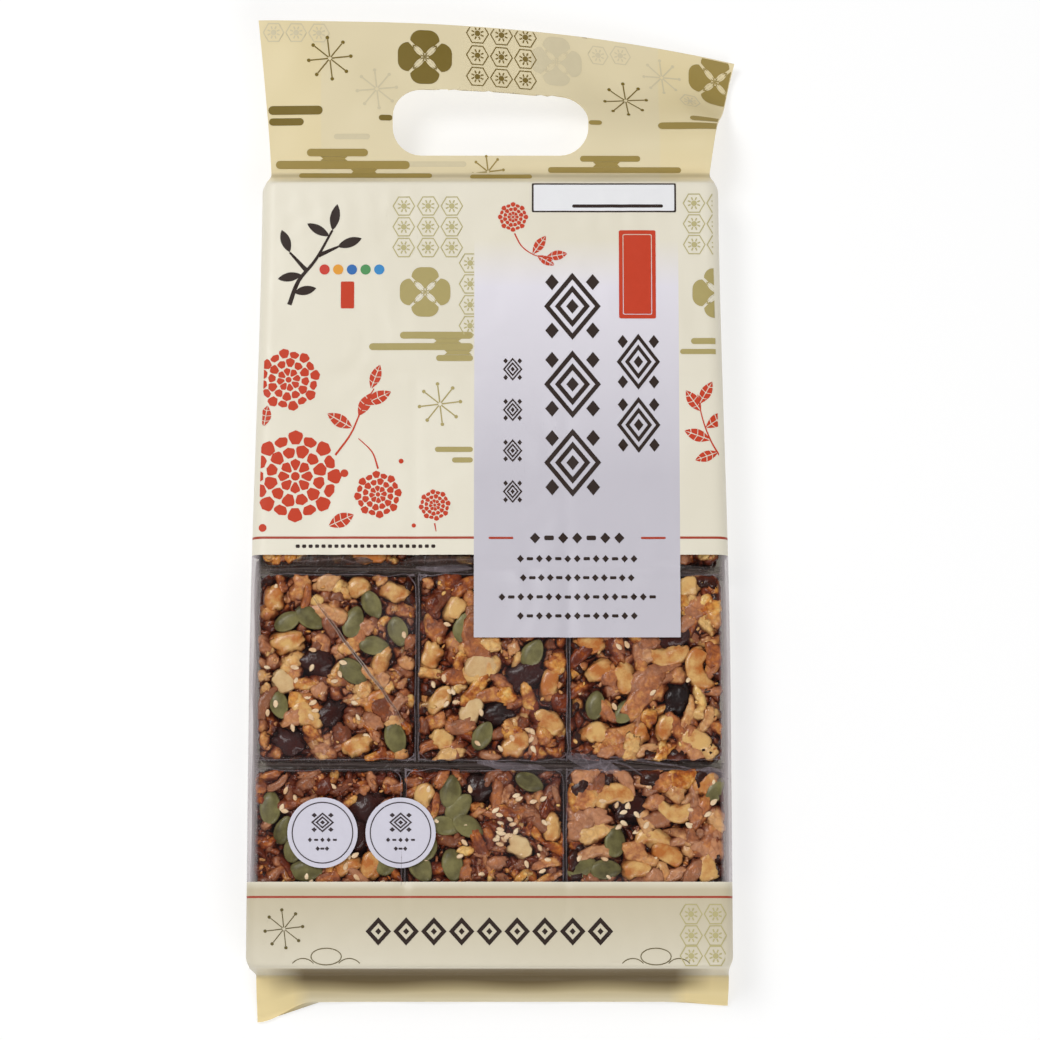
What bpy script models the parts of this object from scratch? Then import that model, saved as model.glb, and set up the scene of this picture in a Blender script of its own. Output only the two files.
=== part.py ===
"""Sachima pack lying on its back: a printed gusset bag with a carry hole, and wrapped blocks in its window.

Metres, +Z up. +X runs across the pack, +Y towards the carry header and +Z out of the front.
While it is being made, Y = 0 is the middle of the body. The last step moves the whole pack so that
the origin is below the middle of its box.
"""

import math
import random

import bmesh
import bpy
from mathutils import Matrix, Vector, noise

# Body of the bag
BODY_LENGTH = 0.258
THICKNESS = 0.024
HALF_WIDTH_LOW = 0.0782
HALF_WIDTH_TOP = 0.0755
TAPER_START_Y = -0.043
FRONT_WALL = 0.0010
SIDE_WALL = 0.0012
FRONT_EDGE_RADIUS = 0.0025
BACK_EDGE_RADIUS = 0.0020
BODY_TUCK = 0.0006
GUSSET_TUCK = 0.013

# Carry header above the body and sealed fin below it
SHEET = 0.0010
SHOULDER_REACH = 0.0035
HEADER_ROOT_Z = 0.0175
HEADER_LENGTH = 0.051
HEADER_HALF_ROOT = 0.0728
HEADER_HALF_LEFT = 0.0770
HEADER_HALF_RIGHT = 0.0822
HEADER_RISE_LEFT = math.radians(9.0)
HEADER_RISE_RIGHT = math.radians(30.0)
HEADER_END_RIGHT = math.radians(25.0)
HEADER_DIP_RIGHT = math.radians(90.0)
HEADER_TWIST = 1.6
FIN_SHOULDER_REACH = 0.0025
FIN_ROOT_Z = 0.0080
FIN_LENGTH = 0.0083
FIN_HALF_LEFT = 0.0757
FIN_HALF_RIGHT = 0.0775
FIN_TIP_Z = 0.0010
FIN_LEFT_EAR = 0.0066
FIN_RIGHT_EAR = 0.0012

# Carry hole, in the header before it is bent
HOLE_WIDTH = 0.0650
HOLE_HEIGHT = 0.0228
HOLE_CORNER = 0.0095
HOLE_ABOVE_ROOT = 0.0059

# Clear window and the printed label that hangs into it
WINDOW_LOW_Y = -0.1016
WINDOW_HIGH_Y = 0.0042
LABEL_LEFT_X = -0.0049
LABEL_RIGHT_X = 0.0621
LABEL_LOW_Y = -0.0225
CUT_MARGIN = 0.020

# Wrapped blocks in rows two, three and four, counted from the top
ROW_SPANS_Y = {2: (0.0010, 0.0626), 3: (-0.0633, -0.0017), 4: (-0.1270, -0.0651)}
GAPS_X = {2: (-0.0245, 0.0250), 3: (-0.0235, 0.0256), 4: (-0.0277, 0.0243)}
COLUMNS = 3
COLUMN_GAP = 0.0014
BLOCK_CLEARANCE = 0.00035
BLOCK_CORNER = 0.0035
BLOCK_EDGE = 0.0018
CRAG_DEPTH = 0.0014
CRAG_SIZE = 0.0055
BLOCK_CELLS = (9, 11, 3)
STRIPS_ACROSS = 3
STRIPS_UP = 4

# Toppings that stand out on each block: kind, place across and up the block from 0 to 1, turn in degrees
TOPPINGS = {
    (3, 1): [
        ("seed", 0.72, 0.84, -60), ("seed", 0.87, 0.69, -65), ("seed", 0.60, 0.75, 75),
        ("seed", 0.73, 0.61, -8), ("seed", 0.37, 0.74, -35), ("seed", 0.14, 0.30, -60),
        ("seed", 0.85, 0.14, -65), ("raisin", 0.19, 0.11, -40), ("raisin", 0.47, 0.24, 10),
        ("nut", 0.11, 0.87, 85), ("nut", 0.83, 0.90, -30), ("nut", 0.73, 0.32, 40),
        ("nut", 0.30, 0.21, -35),
    ],
    (3, 2): [
        ("seed", 0.30, 0.71, 60), ("seed", 0.54, 0.60, 70), ("seed", 0.41, 0.13, 60),
        ("raisin", 0.52, 0.26, 10), ("raisin", 0.71, 0.46, 20), ("nut", 0.41, 0.50, 0),
        ("nut", 0.28, 0.83, 60), ("nut", 0.84, 0.20, -30), ("nut", 0.32, 0.27, 30),
        ("nut", 0.87, 0.40, 70),
    ],
    (3, 3): [
        ("nut", 0.57, 0.50, -15), ("nut", 0.16, 0.46, 30), ("seed", 0.15, 0.32, 80),
        ("seed", 0.35, 0.27, 60), ("nut", 0.41, 0.15, 60), ("nut", 0.37, 0.41, -50),
        ("nut", 0.82, 0.62, -65), ("nut", 0.76, 0.92, 40), ("nut", 0.72, 0.16, -40),
    ],
    (4, 1): [
        ("seed", 0.10, 0.82, 85), ("seed", 0.19, 0.71, 70), ("seed", 0.34, 0.45, 0),
        ("raisin", 0.80, 0.83, 15), ("nut", 0.65, 0.48, 10), ("nut", 0.30, 0.20, -20),
    ],
    (4, 2): [
        ("seed", 0.29, 0.88, 85), ("seed", 0.35, 0.79, 30), ("seed", 0.39, 0.70, -30),
        ("seed", 0.31, 0.49, -65), ("seed", 0.08, 0.46, -60), ("seed", 0.78, 0.93, -25),
        ("raisin", 0.44, 0.91, 20), ("nut", 0.91, 0.68, 60), ("nut", 0.74, 0.60, -40),
    ],
    (4, 3): [
        ("seed", 0.31, 0.62, 88), ("seed", 0.94, 0.90, 50), ("seed", 0.24, 0.43, 0),
        ("nut", 0.86, 0.91, 40), ("nut", 0.88, 0.48, 80), ("nut", 0.63, 0.59, -15),
    ],
    (2, 1): [("nut", 0.82, 0.05, 5), ("seed", 0.35, 0.40, 30), ("raisin", 0.60, 0.70, 0)],
    (2, 2): [("nut", 0.30, 0.55, 40), ("seed", 0.65, 0.35, -40), ("raisin", 0.45, 0.80, 20)],
    (2, 3): [("nut", 0.35, 0.70, -30), ("seed", 0.55, 0.30, 70), ("raisin", 0.70, 0.60, 10)],
}

# Length, width and thickness of the pieces that show on a block
PIECE_SIZES = {
    "seed": (0.0112, 0.0062, 0.0026),
    "raisin": (0.0122, 0.0098, 0.0060),
    "nut": (0.0115, 0.0070, 0.0056),
    "strip": (0.0125, 0.0048, 0.0046),
}
PIECE_SEGMENTS = {"seed": 8, "raisin": 8, "nut": 7, "strip": 6}
PIECE_RINGS = {"seed": 4, "raisin": 5, "nut": 5, "strip": 5}

# Colour, roughness and metallic value of each material
PRINTED_FILM = ("printed_film", (0.79, 0.74, 0.60), 0.42, 0.0)
SACHIMA = ("sachima", (0.46, 0.23, 0.08), 0.35, 0.0)


def ease(share):
    """Rises smoothly from 0 to 1 as share does."""
    held = min(max(share, 0.0), 1.0)
    return held * held * (3.0 - 2.0 * held)


def between(low, high, share):
    """The value that lies share of the way from low to high."""
    return low + (high - low) * share


def body_half_width(y):
    """Half the width of the body, which narrows a little towards the header."""
    share = ease((y - TAPER_START_Y) / (BODY_LENGTH / 2 - TAPER_START_Y))
    return between(HALF_WIDTH_LOW, HALF_WIDTH_TOP, share)


def make_material(name, colour, roughness, metallic):
    """A plain Principled material."""
    material = bpy.data.materials.new(name)
    material.use_nodes = True
    shader = material.node_tree.nodes["Principled BSDF"]
    shader.inputs["Base Color"].default_value = (*colour, 1.0)
    shader.inputs["Roughness"].default_value = roughness
    shader.inputs["Metallic"].default_value = metallic
    return material


def new_object(name, mesh, collection):
    """Puts a mesh in a new object in that collection."""
    made = bpy.data.objects.new(name, mesh)
    collection.objects.link(made)
    return made


def as_cutter(cutter):
    """Marks an object as a cutter, which isn't part of the pack."""
    cutter.hide_render = True
    cutter.display_type = "WIRE"
    return cutter


def apply_booleans(target):
    """Replaces an object's mesh by what its modifiers make of it."""
    bpy.context.view_layer.update()
    graph = bpy.context.evaluated_depsgraph_get()
    made = bpy.data.meshes.new_from_object(target.evaluated_get(graph))
    target.modifiers.clear()
    target.data = made


def cut(target, cutter):
    """Takes one closed cutter out of the target, then removes the cutter."""
    modifier = target.modifiers.new("cut", "BOOLEAN")
    modifier.operation = "DIFFERENCE"
    modifier.solver = "EXACT"
    modifier.object = cutter
    apply_booleans(target)
    bpy.data.objects.remove(cutter)


def outline_prism(name, points, low_z, high_z, collection):
    """A closed prism with the given outline, made from a filled and extruded 2D curve."""
    curve = bpy.data.curves.new(name, "CURVE")
    curve.dimensions = "2D"
    curve.fill_mode = "BOTH"
    curve.extrude = (high_z - low_z) / 2
    spline = curve.splines.new("POLY")
    spline.points.add(len(points) - 1)
    for place, (x, y) in zip(spline.points, points):
        place.co = (x, y, 0.0, 1.0)
    spline.use_cyclic_u = True
    drawn = new_object(name + "_outline", curve, collection)
    drawn.location.z = (high_z + low_z) / 2
    bpy.context.view_layer.update()
    graph = bpy.context.evaluated_depsgraph_get()
    mesh = bpy.data.meshes.new_from_object(drawn.evaluated_get(graph))
    mesh.transform(drawn.matrix_world)
    bpy.data.objects.remove(drawn)
    shape = bmesh.new()
    shape.from_mesh(mesh)
    bmesh.ops.remove_doubles(shape, verts=shape.verts, dist=1e-6)
    bmesh.ops.recalc_face_normals(shape, faces=shape.faces)
    shape.to_mesh(mesh)
    shape.free()
    return as_cutter(new_object(name, mesh, collection))


def header_share(across):
    """How far the header has turned down across it, from 0 at its left edge to 1 at its right edge."""
    return ((across + 1.0) / 2.0) ** HEADER_TWIST


def header_slope(share, along):
    """Angle of the header above the level, along it from 0 at the root to 1 at its top edge."""
    dip = HEADER_DIP_RIGHT * math.sin(math.pi * along) ** 2
    right = between(HEADER_RISE_RIGHT, HEADER_END_RIGHT, along) - dip
    return between(HEADER_RISE_LEFT, right, share)


def bend_header(x, run, lift):
    """Where a point of the flat header goes, by its distance from the root and its height off the sheet."""
    half = HEADER_HALF_LEFT if x < 0 else HEADER_HALF_RIGHT
    share = header_share(max(-1.0, min(1.0, x / half)))
    steps = 24
    step = run / steps
    y = 0.0
    z = 0.0
    for index in range(steps):
        angle = header_slope(share, min((index + 0.5) * step / HEADER_LENGTH, 1.0))
        y += math.cos(angle) * step
        z += math.sin(angle) * step
    end_angle = header_slope(share, min(run / HEADER_LENGTH, 1.0))
    root_y = BODY_LENGTH / 2 + SHOULDER_REACH
    return (
        x,
        root_y + y - lift * math.sin(end_angle),
        HEADER_ROOT_Z + z + lift * math.cos(end_angle),
    )


def bend_fin(x, run, lift):
    """Where a point of the flat fin goes: it droops to the table, and its corners stick out further."""
    across = x / (FIN_HALF_LEFT if x < 0 else FIN_HALF_RIGHT)
    ears = FIN_LEFT_EAR * ease((-across - 0.76) / 0.24) + FIN_RIGHT_EAR * ease((across - 0.80) / 0.20)
    along = run / FIN_LENGTH
    reach = FIN_LENGTH * (math.sin(0.4 * math.pi * along) / math.sin(0.4 * math.pi)) + ears * along
    z = between(FIN_ROOT_Z, FIN_TIP_Z, ease(along))
    root_y = -BODY_LENGTH / 2 - FIN_SHOULDER_REACH
    return (x, root_y - reach, max(z + lift, 0.0002 + lift + SHEET / 2))


def arc_height(radius, offset):
    """Height of a quarter circle at an offset from its middle."""
    return math.sqrt(max(radius**2 - offset**2, 0.0))


def end_heights(out, reach, root_z):
    """Heights of the front and back film, at a distance out from the body's middle."""
    edge = BODY_LENGTH / 2
    if out <= edge:
        front_in = max(out - (edge - FRONT_EDGE_RADIUS), 0.0)
        back_in = max(out - (edge - BACK_EDGE_RADIUS), 0.0)
        front = THICKNESS - FRONT_EDGE_RADIUS + arc_height(FRONT_EDGE_RADIUS, front_in)
        back = BACK_EDGE_RADIUS - arc_height(BACK_EDGE_RADIUS, back_in)
        return front, back
    share = math.sin(math.pi / 2 * min((out - edge) / reach, 1.0))
    front = between(THICKNESS - FRONT_EDGE_RADIUS, root_z + SHEET / 2, share)
    back = between(BACK_EDGE_RADIUS, root_z - SHEET / 2, share)
    return front, back


def section(y, half_left, half_right, front, back, tuck):
    """One closed ring of points round the bag at y, with round corners and the gussets tucked in."""
    front_shares = [index / 5.0 for index in range(-5, 6)]
    back_shares = [0.9, 0.45, 0.0, -0.45, -0.9]
    corner_angles = [math.radians(a) for a in (15, 50, 90)]
    front_radius = min(FRONT_EDGE_RADIUS, 0.45 * (front - back))
    back_radius = min(BACK_EDGE_RADIUS, 0.45 * (front - back))
    middle = (front + back) / 2

    def front_corner(side, half, angle):
        x = side * (half - front_radius + front_radius * math.sin(angle))
        return (x, y, front - front_radius + front_radius * math.cos(angle))

    def back_corner(side, half, angle):
        x = side * (half - back_radius + back_radius * math.sin(angle))
        return (x, y, back + back_radius - back_radius * math.cos(angle))

    ring = [front_corner(-1, half_left, a) for a in reversed(corner_angles)]
    for share in front_shares:
        half = half_left if share < 0 else half_right
        ring.append((share * (half - front_radius), y, front))
    ring += [front_corner(1, half_right, a) for a in corner_angles]
    ring.append((half_right - tuck, y, middle))
    ring += [back_corner(1, half_right, a) for a in reversed(corner_angles)]
    for share in back_shares:
        half = half_left if share < 0 else half_right
        ring.append((share * (half - back_radius), y, back))
    ring += [back_corner(-1, half_left, a) for a in corner_angles]
    ring.append((-half_left + tuck, y, middle))
    return ring


def bag_rings():
    """Rings of the flat bag, from the tip of the fin to the top edge of the header."""
    edge = BODY_LENGTH / 2
    rings = []
    for along in (1.0, 0.66, 0.33):
        y = -edge - FIN_SHOULDER_REACH - along * FIN_LENGTH
        half_sheet = SHEET / 2
        rings.append(
            section(y, FIN_HALF_LEFT, FIN_HALF_RIGHT, FIN_ROOT_Z + half_sheet, FIN_ROOT_Z - half_sheet, 0.0)
        )
    for past in (1.0, 0.8, 0.55, 0.3, 0.1):
        out = edge + past * FIN_SHOULDER_REACH
        front, back = end_heights(out, FIN_SHOULDER_REACH, FIN_ROOT_Z)
        left = between(body_half_width(-edge), FIN_HALF_LEFT, past)
        right = between(body_half_width(-edge), FIN_HALF_RIGHT, past)
        tuck = 0.0 if past == 1.0 else between(BODY_TUCK, GUSSET_TUCK, past)
        rings.append(section(-out, left, right, front, back, tuck))
    inside = [0.0, 0.0006, 0.0014, FRONT_EDGE_RADIUS]
    lows = [-edge + gap for gap in inside]
    highs = [edge - gap for gap in reversed(inside)]
    spans = 8
    middles = [between(lows[-1], highs[0], index / spans) for index in range(1, spans)]
    for y in lows + middles + highs:
        front, back = end_heights(abs(y), SHOULDER_REACH, HEADER_ROOT_Z)
        corner = 0.0012 * (1.0 - (front - THICKNESS + FRONT_EDGE_RADIUS) / FRONT_EDGE_RADIUS)
        half = body_half_width(y) - corner
        rings.append(section(y, half, half, front, back, BODY_TUCK))
    for past in (0.1, 0.3, 0.55, 0.8, 1.0):
        out = edge + past * SHOULDER_REACH
        front, back = end_heights(out, SHOULDER_REACH, HEADER_ROOT_Z)
        half = between(body_half_width(edge) - 0.0012, HEADER_HALF_ROOT, past)
        tuck = 0.0 if past == 1.0 else between(BODY_TUCK, GUSSET_TUCK, past)
        rings.append(section(out, half, half, front, back, tuck))
    header_spans = 12
    for index in range(1, header_spans + 1):
        along = index / header_spans
        y = edge + SHOULDER_REACH + along * HEADER_LENGTH
        flare = along**1.2
        left = between(HEADER_HALF_ROOT, HEADER_HALF_LEFT, flare)
        right = between(HEADER_HALF_ROOT, HEADER_HALF_RIGHT, flare)
        rings.append(section(y, left, right, HEADER_ROOT_Z + SHEET / 2, HEADER_ROOT_Z - SHEET / 2, 0.0))
    return rings


def loft(name, rings, collection):
    """A closed solid through rings that all have the same number of points."""
    shape = bmesh.new()
    rows = [[shape.verts.new(point) for point in ring] for ring in rings]
    count = len(rings[0])
    for low, high in zip(rows, rows[1:]):
        for index in range(count):
            following = (index + 1) % count
            shape.faces.new((low[index], low[following], high[following], high[index]))
    shape.faces.new(rows[0])
    shape.faces.new(rows[-1])
    bmesh.ops.recalc_face_normals(shape, faces=shape.faces)
    mesh = bpy.data.meshes.new(name)
    shape.to_mesh(mesh)
    shape.free()
    return new_object(name, mesh, collection)


def hole_outline():
    """Rounded rectangle of the carry hole, in the flat header."""
    middle_y = BODY_LENGTH / 2 + SHOULDER_REACH + HOLE_ABOVE_ROOT + HOLE_HEIGHT / 2
    inner_x = HOLE_WIDTH / 2 - HOLE_CORNER
    inner_y = HOLE_HEIGHT / 2 - HOLE_CORNER
    arc_steps = 7
    points = []
    for corner, (side_x, side_y) in enumerate(((1, 1), (-1, 1), (-1, -1), (1, -1))):
        for step in range(arc_steps):
            angle = math.pi / 2 * (corner + step / (arc_steps - 1))
            x = side_x * inner_x + HOLE_CORNER * math.cos(angle)
            y = side_y * inner_y + HOLE_CORNER * math.sin(angle)
            points.append((x, middle_y + y))
    return points


def window_outline():
    """Outline of the clear window, with the label hanging into it from above."""
    outside = HALF_WIDTH_LOW + CUT_MARGIN
    return [
        (-outside, WINDOW_LOW_Y),
        (outside, WINDOW_LOW_Y),
        (outside, WINDOW_HIGH_Y),
        (LABEL_RIGHT_X, WINDOW_HIGH_Y),
        (LABEL_RIGHT_X, LABEL_LOW_Y),
        (LABEL_LEFT_X, LABEL_LOW_Y),
        (LABEL_LEFT_X, WINDOW_HIGH_Y),
        (-outside, WINDOW_HIGH_Y),
    ]


def cavity_span():
    """Lowest and highest y of the space that holds the blocks."""
    return ROW_SPANS_Y[4][0] - BLOCK_CLEARANCE, ROW_SPANS_Y[2][1] + BLOCK_CLEARANCE


def cavity_half_width(y):
    """Half the width of the space that holds the blocks, whose sides run straight from end to end."""
    low, high = cavity_span()
    share = (y - low) / (high - low)
    return between(body_half_width(low), body_half_width(high), share) - SIDE_WALL


def block_cavity(collection):
    """The space that holds the blocks, as a closed cutter."""
    low, high = cavity_span()
    shape = bmesh.new()
    bmesh.ops.create_cube(shape, size=1.0)
    for vertex in shape.verts:
        y = high if vertex.co.y > 0 else low
        z = THICKNESS - FRONT_WALL if vertex.co.z > 0 else FRONT_WALL
        x = math.copysign(cavity_half_width(y), vertex.co.x)
        vertex.co = (x, y, z)
    mesh = bpy.data.meshes.new("cavity")
    shape.to_mesh(mesh)
    shape.free()
    return as_cutter(new_object("cavity", mesh, collection))


def bend_ends(mesh):
    """Bends the header and the fin of the flat bag into the shape they lie in."""
    header_root = BODY_LENGTH / 2 + SHOULDER_REACH
    fin_root = -BODY_LENGTH / 2 - FIN_SHOULDER_REACH
    for vertex in mesh.vertices:
        x, y, z = vertex.co
        if y > header_root:
            vertex.co = bend_header(x, y - header_root, z - HEADER_ROOT_Z)
        elif y < fin_root:
            vertex.co = bend_fin(x, fin_root - y, z - FIN_ROOT_Z)


def make_bag(collection, cutters):
    """The bag with its cavity, clear window and carry hole."""
    bag = loft("bag", bag_rings(), collection)
    cut(bag, block_cavity(cutters))
    cut(bag, outline_prism("window", window_outline(), FRONT_WALL, THICKNESS + CUT_MARGIN, cutters))
    cut(bag, outline_prism("hole", hole_outline(), 0.0, THICKNESS + CUT_MARGIN, cutters))
    bend_ends(bag.data)
    bag.data.materials.clear()
    bag.data.materials.append(make_material(*PRINTED_FILM))
    bag.data.shade_smooth()
    bag.data.set_sharp_from_angle(angle=math.radians(35))
    return bag


def grid_box(cells):
    """A cube from -1 to 1 whose faces are cut into cells, with its lower face left in one piece."""
    shape = bmesh.new()
    bmesh.ops.create_cube(shape, size=2.0)
    for axis, count in enumerate(cells):
        along = [
            edge
            for edge in shape.edges
            if abs(edge.verts[0].co[axis] - edge.verts[1].co[axis]) > 1e-6
        ]
        bmesh.ops.subdivide_edges(shape, edges=along, cuts=count - 1, use_grid_fill=True)
    under = [face for face in shape.faces if all(v.co.z < -0.999 for v in face.verts)]
    bmesh.ops.dissolve_faces(shape, faces=under)
    return shape


def round_plan(x, y, half_x, half_y, radius):
    """Pulls a point in a rectangle's corner onto the corner's arc."""
    over_x = abs(x) - (half_x - radius)
    over_y = abs(y) - (half_y - radius)
    if over_x <= 0.0 or over_y <= 0.0:
        return x, y
    reach = math.hypot(over_x, over_y)
    if reach <= radius:
        return x, y
    scale = radius / reach
    return (
        math.copysign(half_x - radius + over_x * scale, x),
        math.copysign(half_y - radius + over_y * scale, y),
    )


def block_core(name, size, seed, collection):
    """The craggy body of a block, standing on z = 0 with its middle on the z axis."""
    half_x, half_y, height = size[0] / 2, size[1] / 2, size[2]
    shape = grid_box(BLOCK_CELLS)
    shape.normal_update()
    shift = Vector((seed * 0.37, seed * 0.11, seed * 0.23))
    for vertex in shape.verts:
        unit = vertex.co.copy()
        x, y = round_plan(unit.x * half_x, unit.y * half_y, half_x, half_y, BLOCK_CORNER)
        z = (unit.z + 1.0) / 2 * height
        depth = CRAG_DEPTH * (0.5 + 0.5 * noise.noise(Vector((x, y, z)) / CRAG_SIZE + shift))
        if unit.z > 0.99:
            z -= depth
        at_side = max(abs(unit.x), abs(unit.y)) > 0.99
        if at_side and unit.z > -0.99:
            edge = BLOCK_EDGE if unit.z > 0.99 else 0.0
            plan = Vector((x, y))
            x, y = plan * (1.0 - (0.7 * depth + edge) / max(plan.length, 1e-6))
            z -= 0.6 * edge
        vertex.co = (x, y, z)
    mesh = bpy.data.meshes.new(name)
    shape.to_mesh(mesh)
    shape.free()
    return new_object(name, mesh, collection)


def topping(kind, place, turn, collection):
    """One seed, raisin, nut or strip of dough, with its long side turned in the block's face."""
    length, width, depth = PIECE_SIZES[kind]
    shape = bmesh.new()
    bmesh.ops.create_uvsphere(
        shape, u_segments=PIECE_SEGMENTS[kind], v_segments=PIECE_RINGS[kind], radius=0.5
    )
    lay_down = Matrix.Rotation(math.pi / 2, 4, "Y")
    stretch = Matrix.Diagonal((length, width, depth, 1.0))
    bmesh.ops.transform(shape, matrix=stretch @ lay_down, verts=shape.verts)
    mesh = bpy.data.meshes.new(kind)
    shape.to_mesh(mesh)
    shape.free()
    made = new_object(kind, mesh, collection)
    made.matrix_world = Matrix.Translation(place) @ Matrix.Rotation(math.radians(turn), 4, "Z")
    return made


def strip_places(size, taken, seed):
    """Places of the strips of dough between the toppings, one in each free cell of a loose grid."""
    draw = random.Random(seed)
    reach = PIECE_SIZES["strip"][0] * 0.55
    places = []
    for column in range(STRIPS_ACROSS):
        for row in range(STRIPS_UP):
            across = (column + 0.5 + draw.uniform(-0.25, 0.25)) / STRIPS_ACROSS
            up = (row + 0.5 + draw.uniform(-0.25, 0.25)) / STRIPS_UP
            turn = draw.uniform(-90.0, 90.0)
            near_topping = any(
                math.hypot((across - other_across) * size[0], (up - other_up) * size[1]) < reach
                for _, other_across, other_up, _ in taken
            )
            if not near_topping:
                places.append(("strip", across, up, turn))
    return places


def make_block(row, column, material, collection, scraps):
    """One wrapped block: its core with the dough, seeds, raisins and nuts that show fused on."""
    low_y, high_y = ROW_SPANS_Y[row]
    half_span = cavity_half_width(high_y) - BLOCK_CLEARANCE + COLUMN_GAP / 2
    walls = (-half_span, *GAPS_X[row], half_span)
    low_x = walls[column - 1] + COLUMN_GAP / 2
    width = walls[column] - COLUMN_GAP / 2 - low_x
    bottom = FRONT_WALL + BLOCK_CLEARANCE
    height = THICKNESS - FRONT_WALL - BLOCK_CLEARANCE - bottom
    size = (width, high_y - low_y, height)
    seed = row * 10 + column
    block = block_core(f"sachima_{row}_{column}", size, seed, collection)
    toppings = TOPPINGS[(row, column)]
    for kind, across, up, turn in toppings + strip_places(size, toppings, seed):
        length, piece_width, depth = PIECE_SIZES[kind]
        lean = math.radians(turn)
        half_x = 0.5 * math.hypot(length * math.cos(lean), piece_width * math.sin(lean))
        half_y = 0.5 * math.hypot(length * math.sin(lean), piece_width * math.cos(lean))
        rim = BLOCK_EDGE / 2
        room_x = size[0] / 2 - half_x - rim
        room_y = size[1] / 2 - half_y - rim
        x = max(-room_x, min(room_x, (across - 0.5) * size[0]))
        y = max(-room_y, min(room_y, (up - 0.5) * size[1]))
        topping(kind, Vector((x, y, height - depth / 2)), turn, scraps)
    union = block.modifiers.new("union", "BOOLEAN")
    union.operation = "UNION"
    union.solver = "EXACT"
    union.operand_type = "COLLECTION"
    union.collection = scraps
    apply_booleans(block)
    for piece in list(scraps.objects):
        bpy.data.objects.remove(piece)
    middle = (low_x + width / 2, (low_y + high_y) / 2, bottom)
    block.data.transform(Matrix.Translation(middle))
    block.data.materials.clear()
    block.data.materials.append(material)
    block.data.shade_smooth()
    block.data.set_sharp_from_angle(angle=math.radians(40))
    return block


def centre_on_origin(parts):
    """Moves every part so that the origin is below the middle of the pack's box."""
    corners = [vertex.co for part in parts for vertex in part.data.vertices]
    low = Vector([min(corner[axis] for corner in corners) for axis in range(3)])
    high = Vector([max(corner[axis] for corner in corners) for axis in range(3)])
    shift = Matrix.Translation((-(low.x + high.x) / 2, -(low.y + high.y) / 2, -low.z))
    for part in parts:
        part.data.transform(shift)


def main():
    """Clears the scene and builds the pack."""
    for old in list(bpy.data.objects):
        bpy.data.objects.remove(old)
    pack = bpy.data.collections.new("sachima_pack")
    cutters = bpy.data.collections.new("cutters")
    scraps = bpy.data.collections.new("toppings")
    for collection in (pack, cutters, scraps):
        bpy.context.scene.collection.children.link(collection)
    parts = [make_bag(pack, cutters)]
    sachima = make_material(*SACHIMA)
    for row in ROW_SPANS_Y:
        for column in range(1, COLUMNS + 1):
            parts.append(make_block(row, column, sachima, pack, scraps))
    centre_on_origin(parts)


main()
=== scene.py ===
"""Dressed model of a pack of sachima lying on its back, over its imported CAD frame.

The film of the bag, its print, the clear wrappers and the food are each built by a class of their own.
The bag uses flat pattern coordinates: x runs across it, and v along it from the fin to the header, with
v = 0 in the middle of the body. FilmForm lays such a pattern into the shape that the bag has on the table.
"""

import logging
import math
from dataclasses import dataclass, field
from enum import Enum

import bpy
import numpy as np
from mathutils import Matrix, Vector
from mathutils.geometry import delaunay_2d_cdt


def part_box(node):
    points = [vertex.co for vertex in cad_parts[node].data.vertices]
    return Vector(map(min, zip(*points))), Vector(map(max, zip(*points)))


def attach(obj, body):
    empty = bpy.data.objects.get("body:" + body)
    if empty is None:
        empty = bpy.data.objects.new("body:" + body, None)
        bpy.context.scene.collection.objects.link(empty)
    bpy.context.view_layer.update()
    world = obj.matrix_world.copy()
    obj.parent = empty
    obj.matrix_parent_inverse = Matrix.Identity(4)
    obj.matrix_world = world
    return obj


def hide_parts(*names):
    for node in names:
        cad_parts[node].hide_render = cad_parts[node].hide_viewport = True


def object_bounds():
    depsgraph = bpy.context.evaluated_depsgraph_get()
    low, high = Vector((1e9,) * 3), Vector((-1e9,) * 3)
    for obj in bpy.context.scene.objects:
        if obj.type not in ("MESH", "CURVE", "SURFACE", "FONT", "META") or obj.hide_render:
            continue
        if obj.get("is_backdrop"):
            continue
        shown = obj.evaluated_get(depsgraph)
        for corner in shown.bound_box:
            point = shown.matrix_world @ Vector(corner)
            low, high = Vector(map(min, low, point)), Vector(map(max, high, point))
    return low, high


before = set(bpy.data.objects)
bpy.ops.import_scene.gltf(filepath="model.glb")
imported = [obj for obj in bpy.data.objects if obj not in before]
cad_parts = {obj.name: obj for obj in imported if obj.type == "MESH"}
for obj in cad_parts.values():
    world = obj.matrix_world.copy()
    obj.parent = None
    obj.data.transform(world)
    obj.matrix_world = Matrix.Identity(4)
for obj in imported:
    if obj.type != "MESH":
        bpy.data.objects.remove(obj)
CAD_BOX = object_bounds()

LOG = logging.getLogger("sachima_pack")
MM = 0.001

Loop = list[tuple[float, float]]
Bars = list[tuple[float, float, float, float]]
Joints = list[tuple[float, float, float]] | tuple[()]
Colour = tuple[float, float, float]


def srgb(red: int, green: int, blue: int) -> Colour:
    """Linear colour of an sRGB colour given from 0 to 255."""

    def linear(value: int) -> float:
        """Linear value of one channel."""
        share = value / 255.0
        return share / 12.92 if share <= 0.04045 else ((share + 0.055) / 1.055) ** 2.4

    return linear(red), linear(green), linear(blue)


def ease(share: np.ndarray) -> np.ndarray:
    """Rises smoothly from 0 to 1 as share does."""
    held = np.clip(share, 0.0, 1.0)
    return held * held * (3.0 - 2.0 * held)


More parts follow.
